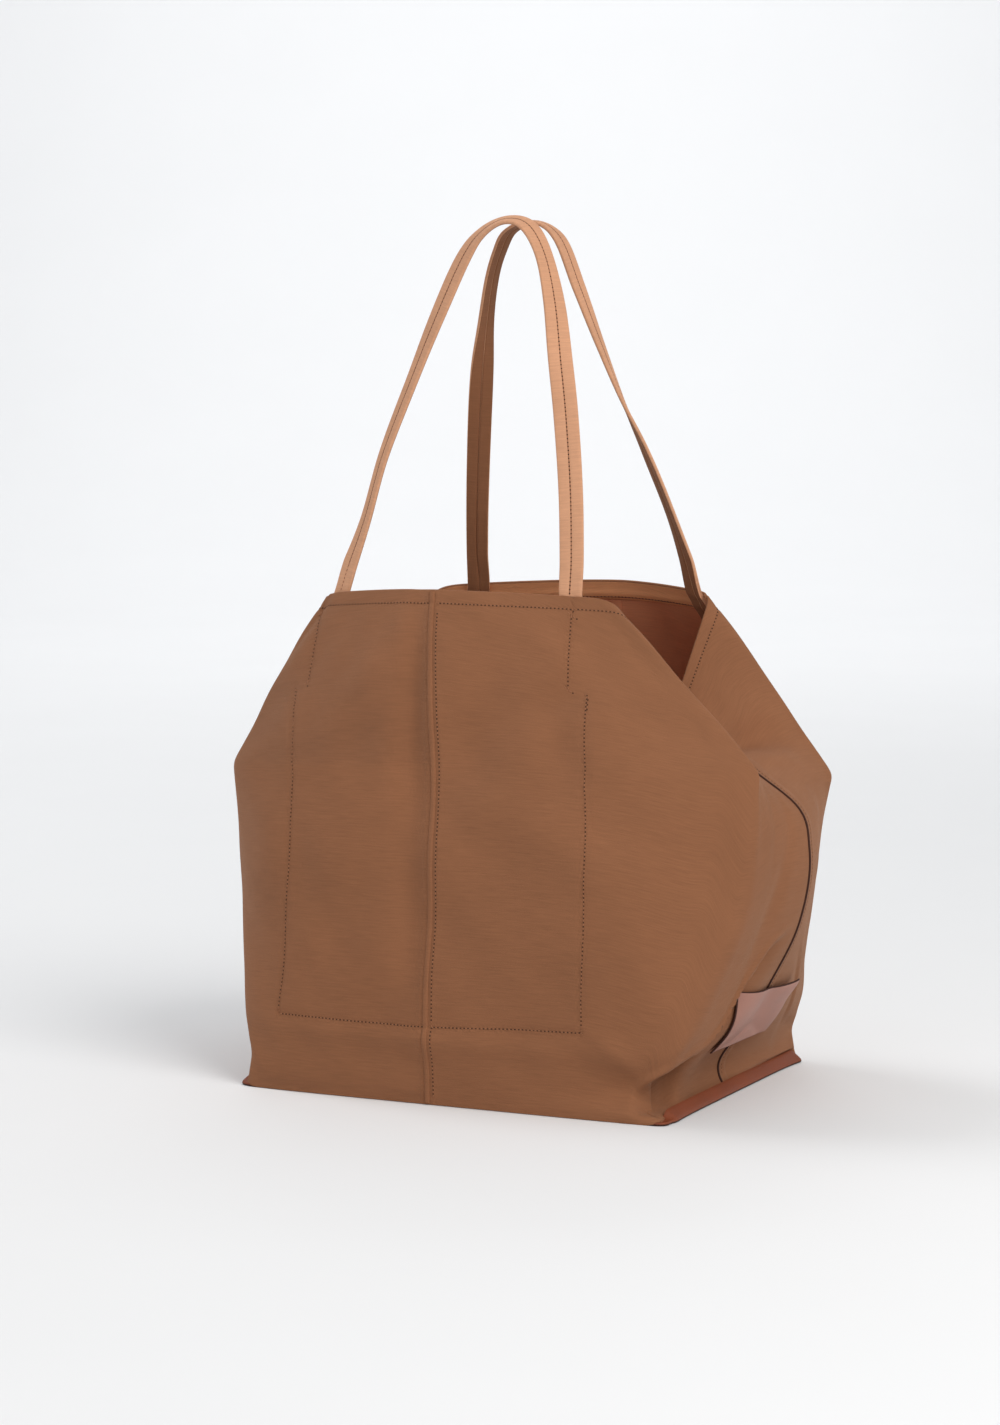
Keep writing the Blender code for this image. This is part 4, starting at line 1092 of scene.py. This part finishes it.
def label_patch(body, materials):
    """Stiff leather patch: over hollows it follows a flat sheet, and its back top corner is lifted."""
    low, high = LABEL_RIM, 1 - LABEL_RIM
    share = np.concatenate(((0.0, low), np.linspace(low, high, LABEL_CELLS)[1:-1], (high, 1.0)))
    across, down = np.meshgrid(share, share)
    u, v = across[..., None], down[..., None]
    corners = np.array(LABEL)
    top = corners[0] + (corners[1] - corners[0]) * u
    bottom = corners[3] + (corners[2] - corners[3]) * u
    place = top + (bottom - top) * v
    middle, normal = body.at(2 + place[..., 0], place[..., 1])
    a, b, c, d = middle[0, 0], middle[0, -1], middle[-1, -1], middle[-1, 0]
    flat = (a * (1 - u) + b * u) * (1 - v) + (d * (1 - u) + c * u) * v
    hollow = np.sum((flat - middle) * normal, -1)
    middle = middle + (flat - middle) * (LABEL_STIFFNESS * smoothstep(0, STIFF_FROM, hollow))[..., None]
    lift = LABEL_LIFT * smoothstep(*LIFT_ACROSS, across) * smoothstep(*LIFT_DOWN, down)
    inner = middle + normal * (CLOTH / 2 + GAP + LABEL_OFF + lift)[..., None]
    edge = np.minimum(np.minimum(across, 1 - across), np.minimum(down, 1 - down))
    thickness = LABEL_THICKNESS - LABEL_ROUND * (1 - smoothstep(0, LABEL_ROUND_REACH, edge))
    painted = np.zeros((len(share) - 1, len(share) - 1), int)
    painted[:, 0] = painted[:, -1] = painted[0] = painted[-1] = 2
    item = sheet_object("label_leather", inner + normal * thickness[..., None], inner, materials, sharp=50,
                        slots=(painted, 1, 2))
    ride_as(item, ["label_patch"])


def base_leather(materials):
    """Base: one section swept from front to back; at the short sides it turns up as a lip.

    The corners of the outline are quarter circles. The lip rises over a short way past its front end.
    """
    y = np.sin(np.linspace(-math.pi / 2, math.pi / 2, BASE_STEPS)) * BASE_DEPTH / 2
    over = np.maximum(np.abs(y) - (BASE_DEPTH / 2 - BASE_CORNER), 0)
    half = HALF_LENGTH + LIP - BASE_CORNER + np.sqrt(np.maximum(BASE_CORNER**2 - over**2, 0))
    inset, height = np.array(LIP_SECTION).T
    curl = (np.abs(y) / (BASE_DEPTH / 2)) ** CURL_POWER

    def side(end):
        rise = smoothstep(end + LIP_RISE[0], end + LIP_RISE[1], y) * smoothstep(*LIP_RISE_BACK, y)
        z = np.minimum(height, LEATHER_THICKNESS)
        z = z + np.maximum(height - LEATHER_THICKNESS, 0) * (rise * (1 + LIP_CURL * curl))[:, None]
        out = half + LIP_FLARE * curl * rise
        return np.stack((out[:, None] - inset, y[:, None] + 0 * inset, z), -1)

    rings = np.concatenate((side(LIP_END), side(LEFT_LIP_END)[:, ::-1] * (-1, 1, 1)), axis=1)
    painted = np.zeros(2 * len(inset), int)
    painted[[*LIP_PAINTED, *(len(painted) - 2 - k for k in LIP_PAINTED)]] = 1
    ride_as(tube_object("base_leather", rings, materials, painted), ["base_panel"])


def base_lining(materials):
    """Loose lining over the board: a square pulled in at its corners, with two crossed waves."""
    u, v = np.meshgrid(*(np.linspace(-1, 1, count) for count in LINING_CELLS))
    pull = 1 - LINING_CORNER * (u * v) ** 8
    x, y = (HALF_LENGTH - BOARD_MARGIN) * u * pull, (HALF_DEPTH - BOARD_MARGIN) * v * pull
    a, b, c, d = (np.sin(turns_x * x + turns_y * y) for turns_x, turns_y in LINING_TURNS)
    wave = LINING_WAVE * (a * b + c * d * 0.4)
    fade = smoothstep(1.0, 0.9, np.abs(u)) * smoothstep(1.0, 0.9, np.abs(v))
    low = LEATHER_THICKNESS + 2 * GAP + BOARD_THICKNESS
    top = np.stack((x, y, low + LINING_CLOTH + (wave + LINING_WAVE) * fade), -1)
    under = np.stack((x, y, low + 0 * x), -1)
    item = sheet_object("base_lining_cloth", top, under, materials, np.stack((x, y), -1))
    ride_as(item, ["base_lining"])


def strap_section():
    """Section of a strap from the slit round the inner face, an edge, the outer face and back."""
    w, t, r = STRAP_WIDTH / 2, STRAP_THICKNESS / 2, STRAP_EDGE
    right = [(x, -t + y) for x, y in SLIT] + [(w - r - EDGE_FLAT, -t)]
    for angle in np.linspace(-90, 90, EDGE_STEPS):
        turn = math.radians(angle)
        right.append((w - r + r * math.cos(turn), (t - r) * np.sign(angle) + r * math.sin(turn)))
    right += [(w - EDGE_SWELL[0], t + EDGE_SWELL[1])] + [(x, t + y) for x, y in STITCHED]
    return np.array(right + [(-x, y) for x, y in right[-2:0:-1]])


def strap_feet(face):
    """Ring coordinates of a strap's far and near foot."""
    seam = 8 if face < 0 else 4
    return seam - FAR_FOOT, seam % 8 + NEAR_FOOT


def anchor_ring(foot, level):
    """Ring coordinate of the row that holds a strap end: straight down on the wall from the foot."""
    near = foot % 4 < 2
    return foot + (-1 if near else 1) * read_curve(ANCHOR_LEAN, level)[..., 0 if near else 1]


def strap_path(body, face, loop, facing):
    """Middle line, direction and outer facing of the free loop, from its far foot to its near one.

    The loop's table gives shares of the way between the feet and of the rise; with the rise the line
    moves to its place near the middle of the bag.
    """
    feet = body.at(np.array(strap_feet(face)), 1.0)[0]
    axis = unit(feet[1] - feet[0])
    feet = feet + across_to(np.array((0, -face, 0)), axis) * STRAP_INSET
    fine = np.linspace(0, 1, LOOP_STEPS)
    across, rise = read_curve(np.column_stack((np.linspace(0, 1, len(loop)), loop)), fine).T
    path = feet[0] + (feet[1] - feet[0]) * across[:, None]
    path[:, 2] += STRAP_RISE * rise
    path[:, 1] += (face * CROWN_OFFSET - path[:, 1]) * rise
    along = unit(np.gradient(path, axis=0))
    return path, along, across_to(read_curve(facing, fine), along)


def strap(body, word, face, loop, facing, materials, threads):
    """Shoulder strap: a folded band from inside the wall, up over the rim, round and back inside.

    The sewn ends follow the wall. The loop's ends are eased onto them over a short way.
    """
    section = strap_section()
    path, along, out = strap_path(body, face, loop, facing)
    side = np.cross(along, out)
    rings = path[:, None] + side[:, None] * section[:, :1] + out[:, None] * section[:, 1:]
    levels = 1 - np.linspace(TAIL_LENGTH, 0, TAIL_STEPS) / BODY_HEIGHT
    tails = []
    for foot, way in zip(strap_feet(face), (1, -1)):
        scale = body.metres_per_ring(np.full(len(levels), foot), levels)[:, None]
        lean = anchor_ring(foot, np.minimum(levels, LEAN_LIMIT)) - foot
        lean = lean * np.minimum((1 - levels) / LEAN_FADE, 1)
        ring = foot + lean[:, None] + way * section[:, 0] / scale
        middle, normal = body.at(ring, levels[:, None])
        tails.append(middle - normal * (STRAP_INSET - section[:, 1])[:, None])
    travelled = way_along(path)
    for tail, end, distance in ((tails[0], 0, travelled), (tails[1], -1, travelled[-1] - travelled)):
        easing = (1 - smoothstep(0, STRAP_EASING, distance))[:, None, None]
        rings = rings + (tail[-1] - rings[end]) * easing
    whole = np.concatenate((tails[0][:-1], rings, tails[1][::-1][1:]))
    uv = np.stack(np.broadcast_arrays(way_along(section), way_along(whole.mean(axis=1))[:, None]), -1)
    # the outer face and edges take the lighter copy of the canvas, painted light; the inner face keeps the
    # plain tan
    outside = section[:, 1] > -STRAP_THICKNESS / 2 + INNER_CLOTH
    band = tube_object(f"{word}_strap_band", whole, materials, outside, uv, sharp=50)
    row = rings[1:-1, len(section) // 2]
    row = stitch_row(f"{word}_strap_stitches", row, unit(row - rings[1:-1, 0]), threads)
    for item in (band, row):
        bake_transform(item)
    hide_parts(f"{word}_strap", f"{word}_strap_tail_left", f"{word}_strap_tail_right")


def strap_anchors(body, word, face, threads):
    """The row that holds each strap end, seen on the outside of the wall, locked at both ends."""
    levels = np.linspace(1 - ANCHOR_TOP / BODY_HEIGHT, 1 - TAIL_LENGTH / BODY_HEIGHT, ANCHOR_POINTS)
    for side, foot in zip(("far", "near"), strap_feet(face)):
        ring = np.mod(anchor_ring(foot, levels), 8)
        name = f"{word}_strap_{side}_anchor"
        sew_wall(body, name, ring, levels, threads)
        for end, place in ANCHOR_ENDS:
            bartack(body, f"{name}_{end}", ring[place], levels[place], threads)


def outer_rows(body, threads):
    """Every stitch row on the outside of the cloth but those of the straps."""
    levels = np.linspace(*CENTRE_ROW, ROW_POINTS)
    start, end = HEM_ROW
    for word, seam in (("front", 0), ("back", 4)):
        aside = WELT_STITCHES / body.metres_per_ring(seam, levels)
        sew_wall(body, f"{word}_centre_stitches", np.mod(seam + aside, 8), levels, threads)
        ring = np.linspace(seam - end, seam + end, HEM_ROW_POINTS)
        for part, half in (("left", ring[ring < seam - start]), ("right", ring[ring > seam + start])):
            sew_wall(body, f"{word}_hem_stitches_{part}", np.mod(half, 8), HEM_STITCH_LEVEL, threads)
    levels = np.linspace(*LAP_ROW, ROW_POINTS)
    for word, seam in (("right", 2), ("left", 6)):
        ring = seam + LAP_STITCHES / body.metres_per_ring(seam, levels)
        sew_wall(body, f"side_lap_{word}_stitches", ring, levels, threads, lift=LAP_ROW_LIFT)
    ends = (POCKET_BOTTOM[1], POCKET_BOTTOM[4])
    spans = ((ends[0][0], POCKET_ROW_GAP[0]), (POCKET_ROW_GAP[1], ends[1][0]))
    side_points, bottom_points = POCKET_ROW_POINTS
    for column, word in enumerate(("left", "right")):
        side = np.linspace(ends[column][1], POCKET_STITCH_TOP, side_points)
        ring = np.mod(read_curve(POCKET_SIDES, side)[:, column], 8)
        sew_wall(body, f"pocket_{word}_stitches", ring, side, threads)
        sew_wall(body, f"pocket_{word}_backtack", ring[BACKTACK] + BACKTACK_ASIDE, side[BACKTACK], threads)
        ring = np.linspace(*spans[column], bottom_points)
        level = read_curve(POCKET_BOTTOM, ring)[:, 0]
        sew_wall(body, f"pocket_bottom_{word}_stitches", np.mod(ring, 8), level, threads)


def inner_rows(body, threads):
    """Stitch rows that show on the inside: along the hem and beside the back seam."""
    for word, seam in (("front", 0), ("back", 4)):
        ring = np.mod(np.linspace(seam - HEM_INSIDE_ROW, seam + HEM_INSIDE_ROW, HEM_ROW_POINTS), 8)
        sew_inside(body, f"{word}_hem_inside_stitches", ring, HEM_LEVEL + HEM_INSIDE_RISE, threads,
                   CLOTH / 2 + GAP + HEM_CLOTH)
    levels = np.linspace(*BACK_SEAM_ROW, ROW_POINTS)
    ring = 4 + INNER_SEAM_STITCHES / body.metres_per_ring(4, levels)
    sew_inside(body, "back_seam_inside_stitches", ring, levels, threads, CLOTH / 2 + INNER_SEAM_TOP)


def dress_bag():
    """Every piece, from the cloth of the walls to the straps."""
    body = Body()
    # light is the same tan canvas made lighter: painted light on the straps' outer face
    cloth, light = canvas("tan_canvas_face", TAN), canvas("painted_light_canvas_face", STRAP_PAINTED_LIGHT_TAN)
    back = canvas("russet_canvas_back_face", RUSSET, sheen=0.03)
    edge = mottled("dark_edge_paint")
    # the needle holes' dark spots are painted shade
    hole_shade = mottled("needle_hole_painted_shade")
    tan, russet = (mottled("tan_thread"), hole_shade), (mottled("russet_thread"), hole_shade)
    for name in RING:
        panel(body, name, (cloth, back, cloth))
    # pale is the tan canvas made lighter: painted light on the hem inside the rim
    pale = canvas("painted_light_hem_face", HEM_PAINTED_LIGHT_TAN)
    rows = body.levels[(body.levels > RIDGE_ENDS[0]) & (body.levels < RIDGE_ENDS[1])]
    for word, seam in (("front", 0), ("back", 4)):
        rim_hem(body, word, seam, (pale,))
        node = f"{word}_centre_welt"
        ridge(body, f"{node}_cloth", seam, WELT_PROFILE, rows, (cloth,), [node])
        under_hem = rows[(rows > INNER_SEAM_LOW[word]) & (rows < HEM_LEVEL)]
        ridge(body, f"{word}_seam_inside", seam, INNER_SEAM_PROFILE, under_hem, (back,), way=-1)
    for word, seam in (("right", 2), ("left", 6)):
        node = f"side_seam_lap_{word}"
        ridge(body, f"{node}_cloth", seam, LAP_PROFILE, rows, (cloth, edge), [node], LAP_PAINTED)
    inner_pocket(body, (back,), russet)
    label_patch(body, (leather("rose_label_leather", ROSE, 0.5, 1300.0, 0.00006), back, edge))
    base_leather((leather("cognac_base_leather", COGNAC, 0.48, 700.0, 0.00010), edge))
    base_lining((back,))
    outer_rows(body, tan)
    inner_rows(body, russet)
    for word, face, loop, facing in (("front", -1, FRONT_LOOP, FRONT_FACING),
                                     ("back", 1, BACK_LOOP, BACK_FACING)):
        strap(body, word, face, loop, facing, (cloth, light), tan)
        strap_anchors(body, word, face, tan)
    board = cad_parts["base_board"]
    board.data.materials.clear()
    board.data.materials.append(mottled("base_board_face"))


def add_camera():
    """The photo's view: 25 degrees round to the right, a little above the middle, long lens."""
    data = bpy.data.cameras.new("camera")
    data.sensor_fit = "VERTICAL"
    data.sensor_height = SENSOR
    data.lens = LENS
    data.clip_end = 50.0
    item = new_object("camera", data)
    item.location = CAMERA_PLACE
    item.rotation_euler = CAMERA_TURN
    bpy.context.scene.camera = item


def add_light(name, place, aim, size, power, colour):
    """A round area light turned to what it aims at."""
    data = bpy.data.lights.new(name, "AREA")
    data.shape = "DISK"
    data.size = size
    data.energy = power
    data.color = colour
    item = new_object(name, data)
    item.location = place
    way = np.array(aim, float) - np.array(place, float)
    item.rotation_euler = (math.atan2(math.hypot(way[0], way[1]), -way[2]), 0.0,
                           math.atan2(way[1], way[0]) - math.pi / 2)


def backdrop():
    """Floor that sweeps up behind the bag: flat, a quarter circle, then upright."""
    turn = np.linspace(0, math.pi / 2, SWEEP_STEPS)[1:]
    out = np.concatenate((FLOOR_PLACES, SWEEP_REACH + SWEEP_RADIUS * np.sin(turn),
                          (SWEEP_REACH + SWEEP_RADIUS,)))
    up = np.concatenate((np.zeros(len(FLOOR_PLACES)), SWEEP_RADIUS * (1 - np.cos(turn)), (PAPER_HEIGHT,)))
    wide = np.linspace(-PAPER_HALF_WIDTH, PAPER_HALF_WIDTH, 19)
    x = out[:, None] * BEHIND[0] + wide * BEHIND[1]
    y = out[:, None] * BEHIND[1] - wide * BEHIND[0]
    points = np.stack((x, y, up[:, None] + 0 * wide), -1)
    mesh = bpy.data.meshes.new("backdrop")
    faces = grid_quads(len(out), len(wide))
    mesh.from_pydata(points.reshape(-1, 3).tolist(), [], faces[:, ::-1].tolist())
    mesh.materials.append(mottled("pale_paper"))
    mesh.shade_smooth()
    new_object("backdrop", mesh)


def surround():
    """Even pale light from all sides."""
    world = bpy.data.worlds.new("surround")
    world.use_nodes = True
    world.node_tree.nodes["Background"].inputs["Color"].default_value = (*WORLD_COLOUR, 1)
    world.node_tree.nodes["Background"].inputs["Strength"].default_value = WORLD_POWER
    bpy.context.scene.world = world
    bpy.context.scene.view_settings.view_transform = "Standard"


dress_bag()
add_camera()
backdrop()
surround()
for light in LIGHTS:
    add_light(*light)
